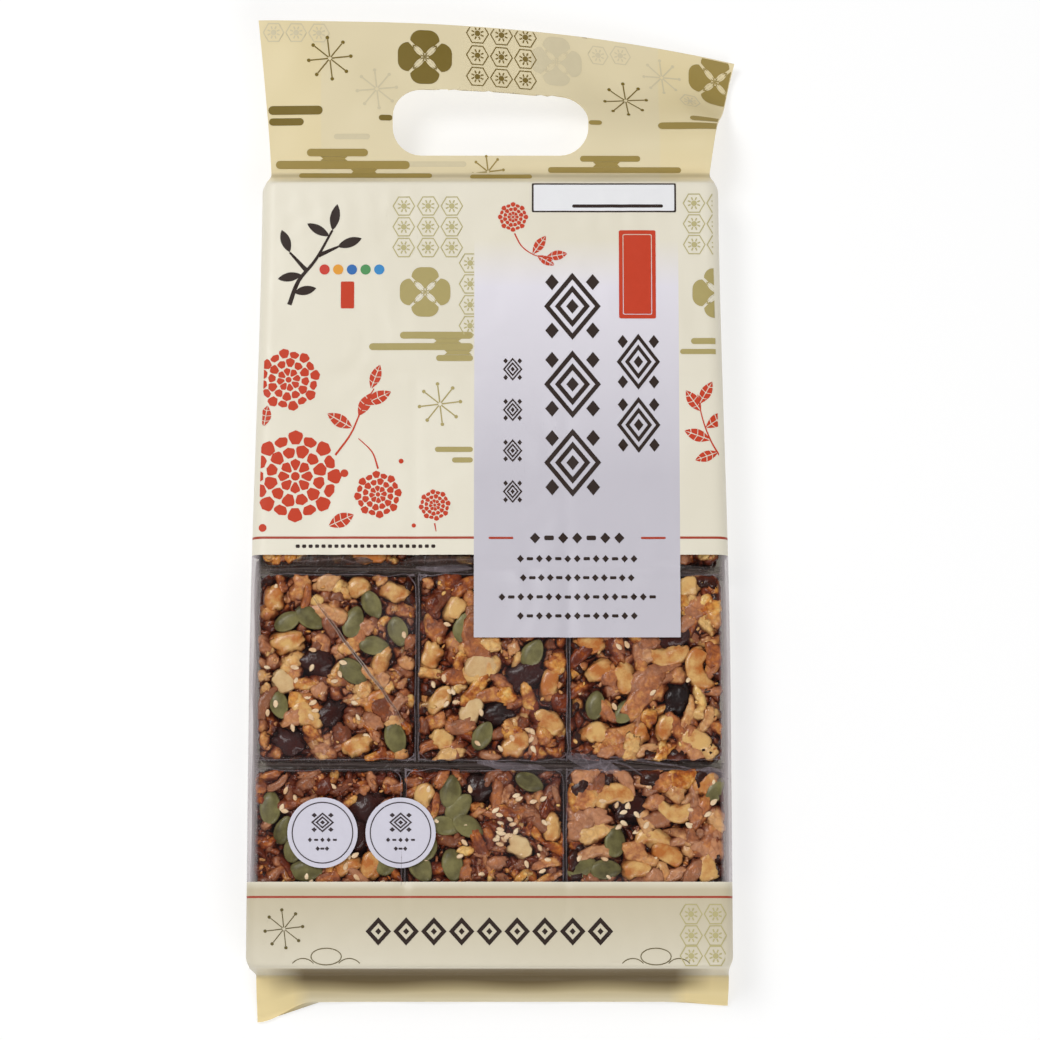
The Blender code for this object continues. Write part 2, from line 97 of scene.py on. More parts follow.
def ripple(points: np.ndarray, seed: int, waves: int = 6) -> np.ndarray:
    """Cheap smooth noise, as a sum of waves in random directions.

    Args:
        points: Places as an (n, d) array, scaled so that one unit is about one ripple.
        seed: Seed of the directions and phases.
        waves: How many waves are added.

    Returns:
        One value for each place, mostly between -1 and 1.
    """
    draw = np.random.default_rng(seed)
    total = np.zeros(len(points))
    for _ in range(waves):
        direction = draw.normal(size=points.shape[1])
        direction *= draw.uniform(0.7, 1.5) * math.tau / np.linalg.norm(direction)
        total += np.sin(points @ direction + draw.uniform(0.0, math.tau))
    return total / math.sqrt(waves)


@dataclass(frozen=True)
class PackSize:
    """Sizes of the pack in metres and angles in degrees, the same as in the CAD part."""

    body: float = 0.258
    thick: float = 0.024
    half_low: float = 0.0782
    half_top: float = 0.0755
    taper_start: float = -0.043
    shoulder: float = 0.0035
    root_z: float = 0.0175
    header: float = 0.051
    half_root: float = 0.0728
    half_left: float = 0.0770
    half_right: float = 0.0822
    fin_shoulder: float = 0.0025
    fin_root_z: float = 0.0080
    fin: float = 0.0083
    fin_left: float = 0.0757
    fin_right: float = 0.0775
    fin_tip_z: float = 0.0010
    ear_left: float = 0.0066
    ear_right: float = 0.0012
    sheet: float = 0.0007
    corner: float = 0.0040
    end_corner: float = 0.0016
    back_corner: float = 0.0025
    window: tuple[float, float] = (-0.1016, 0.0042)
    label: tuple[float, float, float] = (-0.0052, 0.0619, -0.0228)
    label_top: float = 0.1090
    hole: tuple[float, float, float] = (0.0650, 0.0228, 0.0095)
    hole_above_root: float = 0.0062
    header_tip: float = 0.18313
    left_rise: float = 9.0
    right_rise: float = 30.0
    right_ease: float = 5.0
    right_dip: float = 90.0

    @property
    def edge(self) -> float:
        """Distance from the middle of the body to its ends."""
        return self.body / 2

    @property
    def header_root(self) -> float:
        """Where the header starts, in v."""
        return self.edge + self.shoulder

    @property
    def fin_root(self) -> float:
        """Where the fin starts, in v."""
        return -self.edge - self.fin_shoulder

    @property
    def header_top(self) -> float:
        """Where the header ends, in v."""
        return self.header_root + self.header


SIZE = PackSize()

GAPS_X = {2: (-0.0245, 0.0250), 3: (-0.0235, 0.0256), 4: (-0.0277, 0.0243)}
ROWS_V = {2: (0.0010, 0.0626), 3: (-0.0633, -0.0017), 4: (-0.1270, -0.0651)}
# Place, tilt and width of each groove across the film, between the rows of blocks
GROOVES_V = ((-0.0643, -0.030, 0.0036), (-0.0006, 0.0, 0.0024), (0.0640, 0.0, 0.0024))


class FilmForm:
    """Shape of the bag's film: turns flat pattern coordinates into places on the pack."""

    def __init__(self, size: PackSize, shift: tuple[float, float]) -> None:
        """Keeps the sizes and how far the body's middle lies from the origin.

        Args:
            size: Sizes of the pack.
            shift: Where the middle of the body lies, in X and Y.
        """
        self.size = size
        self.shift = shift

    def half(self, v: np.ndarray) -> np.ndarray:
        """Half the width of the body at v."""
        s = self.size
        share = ease((v - s.taper_start) / (s.edge - s.taper_start))
        return s.half_low + (s.half_top - s.half_low) * share

    def halves(self, v: np.ndarray) -> tuple[np.ndarray, np.ndarray]:
        """Width of the film left and right of the middle at v, fin and header included."""
        s = self.size
        body = self.half(np.clip(v, -s.edge, s.edge))
        tight = 0.0010 * ease((np.abs(v) - s.edge + 0.0030) / 0.0030)
        low = ease((-v - s.edge) / s.fin_shoulder)
        high = ease((v - s.edge) / s.shoulder)
        flare = np.clip((v - s.header_root) / s.header, 0.0, 1.0) ** 1.2
        held = body - tight
        left = held + (s.fin_left - held) * low + (s.half_root - held) * high
        right = held + (s.fin_right - held) * low + (s.half_root - held) * high
        return left + (s.half_left - s.half_root) * flare, right + (s.half_right - s.half_root) * flare

    def relief(self, x: np.ndarray, v: np.ndarray) -> np.ndarray:
        """Height that creases and the blocks below give the film's front."""
        s = self.size
        inside = ease((s.edge - np.abs(v)) / 0.008) * ease((self.half(v) - np.abs(x)) / 0.009)
        in_window = ease((v - s.window[0]) / 0.004 + 1) * ease((s.window[1] - v) / 0.004 + 1)
        groove = np.zeros_like(x)
        for row, (low, high) in ROWS_V.items():
            inner = ease((v - low + 0.002) / 0.004) * ease((high + 0.002 - v) / 0.004)
            for gap in GAPS_X[row]:
                groove = np.maximum(groove, inner * np.exp(-(((x - gap) / 0.0022) ** 2)))
        for gap, tilt, wide in GROOVES_V:
            groove = np.maximum(groove, np.exp(-(((v - gap - tilt * np.maximum(x, 0.0)) / wide) ** 2)))
        place = np.stack([x / 0.046, v / 0.052], axis=1)
        soft = ripple(place, 11)
        crease = ripple(np.stack([x / 0.021 + 0.5 * soft, v / 0.030], axis=1), 12)
        fine = ripple(np.stack([x / 0.009, v / 0.012 + 0.3 * crease], axis=1), 13)
        ends = np.exp(-((np.abs(v) - s.edge) / 0.020) ** 2)
        calm = 0.45 + 0.55 * in_window
        height = calm * (0.00022 * soft + 0.00015 * crease) + (0.00002 + 0.00006 * ends) * fine
        return inside * (height - groove * (0.00018 + 0.00062 * in_window))

    def flat_front(self, x: np.ndarray, v: np.ndarray) -> np.ndarray:
        """Height of the front film in the flat layout, before the header and the fin are bent."""
        s = self.size
        left, right = self.halves(v)
        half = np.where(x < 0, left, right)
        at_end = np.clip(np.abs(v) - (s.edge - s.end_corner), 0.0, s.end_corner)
        at_side = np.clip(np.abs(x) - (half - s.corner), 0.0, s.corner)
        drop_end = s.end_corner - np.sqrt(np.maximum(s.end_corner**2 - at_end**2, 0.0))
        drop_side = s.corner - np.sqrt(np.maximum(s.corner**2 - np.minimum(at_side, 0.0039) ** 2, 0.0))
        z = s.thick - np.minimum(drop_end + drop_side, 0.0075) + self.relief(x, v)
        return self._drawn_in(v, z, s.sheet / 2)

    def flat_back(self, v: np.ndarray) -> np.ndarray:
        """Height of the back film in the flat layout."""
        s = self.size
        rim = np.clip(np.abs(v) - (s.edge - s.back_corner), 0.0, s.back_corner)
        z = s.back_corner - np.sqrt(np.maximum(s.back_corner**2 - rim**2, 0.0))
        return self._drawn_in(v, z, -s.sheet / 2)

    def _drawn_in(self, v: np.ndarray, z: np.ndarray, sheet: float) -> np.ndarray:
        """Heights drawn in to the header and the fin past the body's ends, sheet above their middle."""
        s = self.size
        up = np.sin(np.pi / 2 * np.clip((v - s.edge) / s.shoulder, 0.0, 1.0))
        z = np.where(v > s.edge, z + (s.root_z + sheet - z) * up, z)
        down = np.sin(np.pi / 2 * np.clip((-v - s.edge) / s.fin_shoulder, 0.0, 1.0))
        return np.where(v < -s.edge, z + (s.fin_root_z + sheet - z) * down, z)

    def lay(self, x: np.ndarray, v: np.ndarray, z: np.ndarray) -> np.ndarray:
        """Bends the header and the fin of the flat layout and moves the body to its place.

        Args:
            x: Places across the film.
            v: Places along the film.
            z: Heights in the flat layout.

        Returns:
            The places on the pack, as an (n, 3) array.
        """
        s = self.size
        out = np.stack([x, v, z], axis=1).astype(float)
        up = v > s.header_root
        if up.any():
            out[up] = self._bend_header(x[up], v[up] - s.header_root, z[up] - s.root_z)
        down = v < s.fin_root
        if down.any():
            out[down] = self._bend_fin(x[down], s.fin_root - v[down], z[down] - s.fin_root_z)
        out[:, 0] += self.shift[0]
        out[:, 1] += self.shift[1]
        return out

    def _bend_header(self, x: np.ndarray, run: np.ndarray, lift: np.ndarray) -> np.ndarray:
        """Where points of the flat header go, as in the CAD part, with soft waves in its film."""
        s = self.size
        across = np.clip(x / np.where(x < 0, s.half_left, s.half_right), -1.0, 1.0)
        share = ((across + 1.0) / 2.0) ** 1.6

        def slope(along: np.ndarray) -> np.ndarray:
            """Angle of the header above the level."""
            dip = math.radians(s.right_dip) * np.sin(np.pi * along) ** 2
            right = math.radians(s.right_rise) - math.radians(s.right_ease) * along - dip
            return math.radians(s.left_rise) * (1 - share) + right * share

        steps = 24
        step = run / steps
        y = np.zeros_like(x)
        z = np.zeros_like(x)
        for index in range(steps):
            angle = slope(np.clip((index + 0.5) * step / s.header, 0.0, 1.0))
            y += np.cos(angle) * step
            z += np.sin(angle) * step
        end = slope(np.clip(run / s.header, 0.0, 1.0))
        free = ease(run / 0.02)
        wave = 0.0006 * ripple(np.stack([x / 0.055, run / 0.060], axis=1), 21) * free
        wave += 0.00022 * ripple(np.stack([x / 0.018, run / 0.030], axis=1), 22) * free
        lift = lift + wave
        return np.stack(
            [x, s.header_root + y - lift * np.sin(end), s.root_z + z + lift * np.cos(end)], axis=1
        )

    def _bend_fin(self, x: np.ndarray, run: np.ndarray, lift: np.ndarray) -> np.ndarray:
        """Where points of the flat fin go, as in the CAD part, with a wavy edge."""
        s = self.size
        across = x / np.where(x < 0, s.fin_left, s.fin_right)
        ears = s.ear_left * ease((-across - 0.76) / 0.24) + s.ear_right * ease((across - 0.80) / 0.20)
        along = run / s.fin
        reach = s.fin * np.sin(0.4 * np.pi * along) / math.sin(0.4 * np.pi) + ears * along
        z = s.fin_root_z + (s.fin_tip_z - s.fin_root_z) * ease(along)
        wave = ripple(np.stack([x / 0.040, along * 0.4], axis=1), 31) * ease(along)
        z = z + 0.0005 * np.maximum(wave, -0.6) + 0.00022 * np.sin(3 * math.tau * along) * ease(along * 3)
        return np.stack([x, s.fin_root - reach, np.maximum(z + lift, 0.0004 + lift)], axis=1)

    def front(self, x: np.ndarray, v: np.ndarray, lift: float) -> np.ndarray:
        """Places at a height over the front film."""
        return self.lay(x, v, self.flat_front(x, v) + lift)

    def back(self, x: np.ndarray, v: np.ndarray, lift: float) -> np.ndarray:
        """Places at a height under the back film."""
        return self.lay(x, v, self.flat_back(v) - lift)


# Materials


class NodePen:
    """Short way to place and join nodes in one node tree."""

    def __init__(self, tree: bpy.types.NodeTree) -> None:
        """Keeps the tree that nodes go in."""
        self.tree = tree

    def add(self, kind: str, **settings: object) -> bpy.types.Node:
        """A new node of a kind, with its properties set."""
        node = self.tree.nodes.new(kind)
        for name, value in settings.items():
            setattr(node, name, value)
        return node

    def put(self, socket: bpy.types.NodeSocket, value: object) -> None:
        """Joins a socket to a value's output, or sets it."""
        if isinstance(value, bpy.types.NodeSocket):
            self.tree.links.new(value, socket)
        elif isinstance(value, tuple) and len(value) == 3 and socket.type == "RGBA":
            socket.default_value = (*value, 1.0)
        else:
            socket.default_value = value

    def math(self, operation: str, first: object, second: object = 0.0, clamp: bool = False) -> object:
        """Output of a Math node."""
        node = self.add("ShaderNodeMath", operation=operation, use_clamp=clamp)
        self.put(node.inputs[0], first)
        self.put(node.inputs[1], second)
        return node.outputs[0]

    def times(self, first: object, second: object) -> object:
        """First times second."""
        return self.math("MULTIPLY", first, second)

    def plus(self, first: object, second: object, clamp: bool = False) -> object:
        """First plus second."""
        return self.math("ADD", first, second, clamp)

    def mix(self, share: object, first: object, second: object) -> object:
        """Colour that goes from the first to the second as share goes from 0 to 1."""
        node = self.add("ShaderNodeMix", data_type="RGBA")
        self.put(node.inputs[0], share)
        self.put(node.inputs[6], first)
        self.put(node.inputs[7], second)
        return node.outputs[2]

    def spread(self, value: object, low: float, high: float, to_low: float, to_high: float) -> object:
        """Value mapped from one range to another, and held inside it."""
        node = self.add("ShaderNodeMapRange")
        for socket, item in zip(node.inputs, (value, low, high, to_low, to_high)):
            self.put(socket, item)
        return node.outputs[0]

    def noise(self, place: object, scale: float, detail: float = 3.0, rough: float = 0.5) -> object:
        """Value of a noise texture."""
        node = self.add("ShaderNodeTexNoise")
        self.put(node.inputs["Vector"], place)
        node.inputs["Scale"].default_value = scale
        node.inputs["Detail"].default_value = detail
        node.inputs["Roughness"].default_value = rough
        return node.outputs[0]

    def shaken(self, place: object, scale: float, reach: float) -> object:
        """Place moved about by noise, by up to half of reach each way."""
        texture = self.add("ShaderNodeTexNoise")
        self.put(texture.inputs["Vector"], place)
        texture.inputs["Scale"].default_value = scale
        shift = self.add("ShaderNodeVectorMath", operation="MULTIPLY")
        self.put(shift.inputs[0], texture.outputs["Color"])
        shift.inputs[1].default_value = (reach, reach, reach)
        moved = self.add("ShaderNodeVectorMath", operation="ADD")
        self.put(moved.inputs[0], place)
        self.put(moved.inputs[1], shift.outputs[0])
        return moved.outputs[0]

    def cells(self, place: object, scale: float) -> tuple[object, object]:
        """A random value for each cell of a cell pattern, and the distance to the cell's edge."""
        made = []
        for feature, output in (("F1", "Color"), ("DISTANCE_TO_EDGE", "Distance")):
            node = self.add("ShaderNodeTexVoronoi", feature=feature)
            self.put(node.inputs["Vector"], place)
            node.inputs["Scale"].default_value = scale
            made.append(node.outputs[output])
        split = self.add("ShaderNodeSeparateColor")
        self.put(split.inputs[0], made[0])
        return split.outputs[0], made[1]

    def ramp(self, value: object, stops: tuple) -> object:
        """Colour read from a ramp with the given stops."""
        node = self.add("ShaderNodeValToRGB")
        while len(node.color_ramp.elements) < len(stops):
            node.color_ramp.elements.new(0.5)
        for element, (position, colour) in zip(node.color_ramp.elements, stops):
            element.position = position
            element.color = (*colour, 1.0)
        self.put(node.inputs[0], value)
        return node.outputs[0]

    def split(self, vector: object) -> bpy.types.NodeOutputs:
        """X, Y and Z of a vector."""
        node = self.add("ShaderNodeSeparateXYZ")
        self.put(node.inputs[0], vector)
        return node.outputs

    def up(self) -> object:
        """How far the surface faces up, from -1 to 1."""
        return self.split(self.add("ShaderNodeNewGeometry").outputs["Normal"])[2]

    def place(self) -> object:
        """Place in the row frame."""
        return self.add("ShaderNodeTexCoord").outputs["Object"]

    def attribute(self, name: str) -> bpy.types.Node:
        """Node that reads a named attribute of the mesh."""
        return self.add("ShaderNodeAttribute", attribute_name=name)


def node_group(
    name: str, inputs: dict[str, tuple[str, object]], outputs: dict[str, str]
) -> bpy.types.NodeTree:
    """A new shader node group with named sockets.

    Args:
        name: Name of the group.
        inputs: Socket name to its kind and default value.
        outputs: Socket name to its kind.

    Returns:
        The group, with its Group Input and Group Output nodes placed.
    """
    tree = bpy.data.node_groups.new(name, "ShaderNodeTree")
    for label, (kind, value) in inputs.items():
        socket = tree.interface.new_socket(label, in_out="INPUT", socket_type="NodeSocket" + kind)
        if value is not None:
            socket.default_value = value
    for label, kind in outputs.items():
        tree.interface.new_socket(label, in_out="OUTPUT", socket_type="NodeSocket" + kind)
    tree.nodes.new("NodeGroupInput")
    tree.nodes.new("NodeGroupOutput")
    return tree


def ends(tree: bpy.types.NodeTree) -> tuple[bpy.types.Node, bpy.types.Node]:
    """The Group Input and Group Output nodes of a group."""
    return tree.nodes["Group Input"], tree.nodes["Group Output"]


def film_crinkle_group() -> bpy.types.NodeTree:
    """Fine creases of thin film: a height for bump and a mask that is high along the creases."""
    tree = node_group(
        "film_crinkle",
        {"Scale": ("Float", 1.0), "Stretch": ("Float", 1.0)},
        {"Height": "Float", "Crease": "Float"},
    )
    pen = NodePen(tree)
    start, finish = ends(tree)
    scaled = pen.add("ShaderNodeVectorMath", operation="MULTIPLY")
    pen.put(scaled.inputs[0], pen.place())
    combined = pen.add("ShaderNodeCombineXYZ")
    pen.put(combined.inputs[0], start.outputs["Scale"])
    pen.put(combined.inputs[1], pen.times(start.outputs["Scale"], start.outputs["Stretch"]))
    pen.put(combined.inputs[2], start.outputs["Scale"])
    pen.put(scaled.inputs[1], combined.outputs[0])
    place = scaled.outputs[0]
    broad = pen.noise(place, 42.0, 2.0, 0.45)
    fine = pen.noise(place, 190.0, 3.0, 0.55)
    ridge = pen.math("ABSOLUTE", pen.math("SUBTRACT", pen.noise(place, 75.0, 1.5, 0.4), 0.5))
    crease = pen.spread(ridge, 0.0, 0.035, 1.0, 0.0)
    height = pen.plus(broad, pen.times(fine, 0.14))
    pen.put(finish.inputs["Height"], pen.plus(height, pen.times(crease, 0.05)))
    pen.put(finish.inputs["Crease"], crease)
    return tree


@dataclass(frozen=True)
class PrintPlaces:
    """Where the printed fields start and end on the flat pattern, in metres."""

    upper_rule: tuple[float, float] = (0.0094, 0.0102)
    lower_rule: tuple[float, float] = (-0.1068, -0.1061)
    label_fade: float = 0.016
    pale: tuple[float, float] = (0.030, 0.099)
    band: tuple[float, float] = (-0.1010, -0.1040)
    band_fade: tuple[float, float] = (-0.1060, -0.1270)
    gusset: tuple[float, float] = (0.0560, 0.0566)
    seal: tuple[float, float] = (0.0030, 0.0020)
    # Reach of the painted highlight along the fin's tip
    tip_highlight_reach: float = 0.0045
    # The next two are not print but painted shade on the fin: where it rises, counted from the fin's tip,
    # and where it fades out towards the fin's ends
    root: tuple[float, float] = (0.0038, 0.0072)
    root_shade_ends: tuple[float, float] = (0.060, 0.072)
    ears: tuple[float, float] = (0.058, 0.064)


MASKS = ("Label", "Pale", "Rule", "Band", "Gusset", "Header", "Seal", "TipHighlight", "RootShade", "Ears")


def print_mask_group(size: PackSize, at: PrintPlaces = PrintPlaces()) -> bpy.types.NodeTree:
    """Masks of the printed fields, read from the flat pattern coordinates kept on the film's mesh. They also
    hold painted shade along the roots of the fin and the header, and a painted highlight along the fin's
    tip.
    """
    tree = node_group("print_fields", {}, {name: "Float" for name in MASKS})
    pen = NodePen(tree)
    finish = ends(tree)[1]
    x, v, side = pen.split(pen.attribute("flat").outputs["Vector"])

    def within(value: object, low: float, high: float, soft: float = 0.00008) -> object:
        """1 between low and high, with edges of the given softness."""
        rise = pen.spread(value, low - soft, low + soft, 0.0, 1.0)
        return pen.times(rise, pen.spread(value, high - soft, high + soft, 1.0, 0.0))

    across = within(x, size.label[0], size.label[1])
    label = pen.times(pen.spread(v, size.label_top - at.label_fade, size.label_top, 1.0, 0.0), across)
    label = pen.times(label, pen.math("GREATER_THAN", v, size.label[2]))
    upper = pen.times(within(v, *at.upper_rule), pen.math("SUBTRACT", 1.0, across))
    rule = pen.plus(upper, within(v, *at.lower_rule))
    beside = pen.math("ABSOLUTE", x)
    header = pen.spread(v, size.edge - 0.001, size.header_root, 0.0, 1.0)
    seal = pen.spread(v, *(-size.edge - reach for reach in at.seal), 1.0, 0.0)
    tip = size.fin_root - size.fin
    wavy = pen.plus(v, pen.times(pen.math("SINE", pen.times(x, 130.0)), 0.0004))
    # Painted shade along the fin's root, just under the body's bottom edge, fading towards the fin's ends
    near = pen.spread(wavy, *(tip + reach for reach in at.root), 0.0, 1.0)
    near = pen.times(near, pen.spread(v, -size.edge - 0.0004, -size.edge, 1.0, 0.0))
    near = pen.times(near, pen.spread(beside, *at.root_shade_ends, 1.0, 0.10))
    # Painted shade where the body's top edge meets the header's root
    above = within(v, size.edge + 0.0022, size.header_root + 0.0002, 0.0005)
    masks = {
        "Label": pen.times(label, pen.math("GREATER_THAN", side, 0.5)),
        "Pale": pen.spread(v, *at.pale, 0.0, 1.0),
        "Rule": pen.times(rule, pen.math("GREATER_THAN", side, -0.5)),
        "Band": pen.times(pen.spread(v, *at.band, 0.0, 1.0), pen.spread(v, *at.band_fade, 1.0, 0.4)),
        "Gusset": pen.times(pen.spread(beside, *at.gusset, 0.0, 1.0), header),
        "Header": header,
        "Seal": seal,
        # Painted highlight along the fin's free edge
        "TipHighlight": pen.times(seal, pen.spread(v, tip, tip + at.tip_highlight_reach, 1.0, 0.0)),
        "RootShade": pen.plus(near, pen.times(above, 0.35), clamp=True),
        "Ears": pen.times(seal, pen.spread(beside, *at.ears, 0.0, 1.0)),
    }
    for name, mask in masks.items():
        pen.put(finish.inputs[name], mask)
    return tree


def syrup_group() -> bpy.types.NodeTree:
    """Colour of dough under syrup: golden on top, amber round each lump and near black in its hollows. The
    amber rims follow how far the surface turns from up and the dark hollows follow depth, so both are partly
    syrup and partly painted shade.
    """
    tree = node_group(
        "syrup_glaze",
        {"Tint": ("Float", 0.5), "Blush": ("Float", 0.0), "Depth": ("Float", 0.0)},
        {"Colour": "Color", "Wet": "Float", "Height": "Float"},
    )
    pen = NodePen(tree)
    start, finish = ends(tree)
    place = pen.place()
    patch = pen.noise(place, 240.0, 3.0, 0.6)
    grain = pen.noise(place, 900.0, 3.0, 0.6)
    cell, crack = pen.cells(pen.shaken(place, 260.0, 0.0034), 360.0)
    share = pen.plus(start.outputs["Tint"], pen.spread(patch, 0.3, 0.7, -0.30, 0.30))
    share = pen.plus(share, pen.spread(cell, 0.0, 1.0, -0.10, 0.10))
    share = pen.plus(share, pen.spread(grain, 0.3, 0.7, -0.09, 0.09), clamp=True)
    stops = ((0.0, srgb(240, 198, 122)), (0.24, srgb(224, 158, 74)), (0.50, srgb(180, 98, 34)),
             (0.76, srgb(126, 52, 15)), (1.0, srgb(88, 30, 7)))
    dough = pen.mix(start.outputs["Blush"], pen.ramp(share, stops), srgb(204, 146, 106))
    # Darker where the surface turns away from up: partly syrup round each lump, partly painted shade
    slope = pen.up()
    rim = pen.times(pen.spread(slope, 0.42, 0.97, 1.0, 0.0), pen.spread(patch, 0.3, 0.7, 0.65, 1.0))
    rim = pen.math("MAXIMUM", rim, pen.spread(crack, 0.0, 0.24, 0.30, 0.0))
    dough = pen.mix(pen.times(rim, 0.90), dough, srgb(108, 44, 11))
    # Darker with depth, to near black in the hollows: partly pooled syrup, partly painted shade
    syrup_and_shade = pen.plus(start.outputs["Depth"], pen.spread(patch, 0.35, 0.7, -0.10, 0.22), clamp=True)
    edge = pen.mix(pen.spread(syrup_and_shade, 0.05, 0.50, 0.0, 1.0), dough, srgb(98, 34, 8))
    pen.put(finish.inputs["Colour"], pen.mix(pen.spread(syrup_and_shade, 0.35, 0.95, 0.0, 1.0), edge, srgb(46, 14, 3)))
    pen.put(finish.inputs["Wet"], pen.spread(patch, 0.3, 0.7, 0.20, 0.46))
    groove = pen.spread(crack, 0.0, 0.36, 0.0, 1.0)
    height = pen.plus(pen.times(grain, 0.25), patch)
    pen.put(finish.inputs["Height"], pen.plus(height, pen.times(groove, 0.40)))
    return tree


class Groups:
    """Node groups shared by the materials, built once."""

    def __init__(self, size: PackSize) -> None:
        """Builds the groups."""
        self.crinkle = film_crinkle_group()
        self.fields = print_mask_group(size)
        self.syrup = syrup_group()

    @staticmethod
    def use(pen: NodePen, tree: bpy.types.NodeTree, **values: object) -> bpy.types.Node:
        """Places a group in a material with its own values."""
        node = pen.add("ShaderNodeGroup", node_tree=tree)
        for name, value in values.items():
            pen.put(node.inputs[name], value)
        return node


@dataclass(frozen=True)
class Finish:
    """A material with one Principled shader."""

    name: str
    colour: Colour
    roughness: float = 0.4
    specular: float = 0.5

    def start(self) -> tuple[bpy.types.Material, NodePen, bpy.types.Node]:
        """A new material, a pen for its nodes and its Principled shader."""
        made = bpy.data.materials.new(self.name)
        made.use_nodes = True
        shader = made.node_tree.nodes["Principled BSDF"]
        shader.inputs["Base Color"].default_value = (*self.colour, 1.0)
        shader.inputs["Roughness"].default_value = self.roughness
        shader.inputs["Specular IOR Level"].default_value = self.specular
        return made, NodePen(made.node_tree), shader

    @staticmethod
    def bump(pen: NodePen, shader: bpy.types.Node, height: object, strength: float, distance: float) -> None:
        """Feeds a height to the shader's normal."""
        node = pen.add("ShaderNodeBump")
        node.inputs["Strength"].default_value = strength
        node.inputs["Distance"].default_value = distance
        pen.put(node.inputs["Height"], height)
        pen.put(shader.inputs["Normal"], node.outputs[0])


# Strength and depth in metres of the crinkles in the printed film
FILM_BUMP = (0.16, 0.0012)
FILM_IOR = 1.36


@dataclass(frozen=True)
class PrintedFilm(Finish):
    """Cream laminate with its lavender label, red rules, yellower header and sealed fin, with painted shade
    along the roots of the fin and the header and a painted highlight along the fin's tip.
    """

    label: Colour = srgb(202, 198, 207)
    label_pale: Colour = srgb(234, 230, 238)
    rule: Colour = srgb(168, 58, 32)
    band: Colour = srgb(203, 191, 162)
    header: Colour = srgb(228, 214, 176)
    gusset: Colour = srgb(233, 215, 165)
    seal: Colour = srgb(206, 188, 142)
    # Colour of the painted highlight along the fin's tip
    tip: Colour = srgb(238, 226, 194)
    # Colour of the painted shade along the roots of the fin and the header
    root: Colour = srgb(98, 76, 26)
    ears: Colour = srgb(244, 222, 164)

    def build(self, groups: Groups) -> bpy.types.Material:
        """Makes the material."""
        made, pen, shader = self.start()
        masks = groups.use(pen, groups.fields).outputs
        crinkle = groups.use(pen, groups.crinkle, Scale=1.0, Stretch=0.8)
        cloudy = pen.noise(pen.place(), 14.0, 2.0, 0.5)
        colour = pen.mix(pen.spread(cloudy, 0.35, 0.65, 0.0, 0.22), self.colour, self.band)
        label = pen.mix(masks["Pale"], self.label, self.label_pale)
        for mask, tone in (
            (masks["Band"], self.band),
            (masks["Header"], self.header),
            (pen.times(masks["Gusset"], 0.55), self.gusset),
            (masks["Label"], label),
            (masks["Rule"], self.rule),
            (masks["Seal"], self.seal),
            # Painted highlight along the fin's tip
            (masks["TipHighlight"], self.tip),
            (masks["Ears"], self.ears),
            # Painted shade at the roots of the fin and the header
            (pen.times(masks["RootShade"], 0.9), self.root),
        ):
            colour = pen.mix(mask, colour, tone)
        pen.put(shader.inputs["Base Color"], colour)
        rough = pen.spread(crinkle.outputs["Crease"], 0.0, 1.0, self.roughness, self.roughness - 0.08)
        pen.put(shader.inputs["Roughness"], rough)
        self.bump(pen, shader, crinkle.outputs["Height"], *FILM_BUMP)
        return made


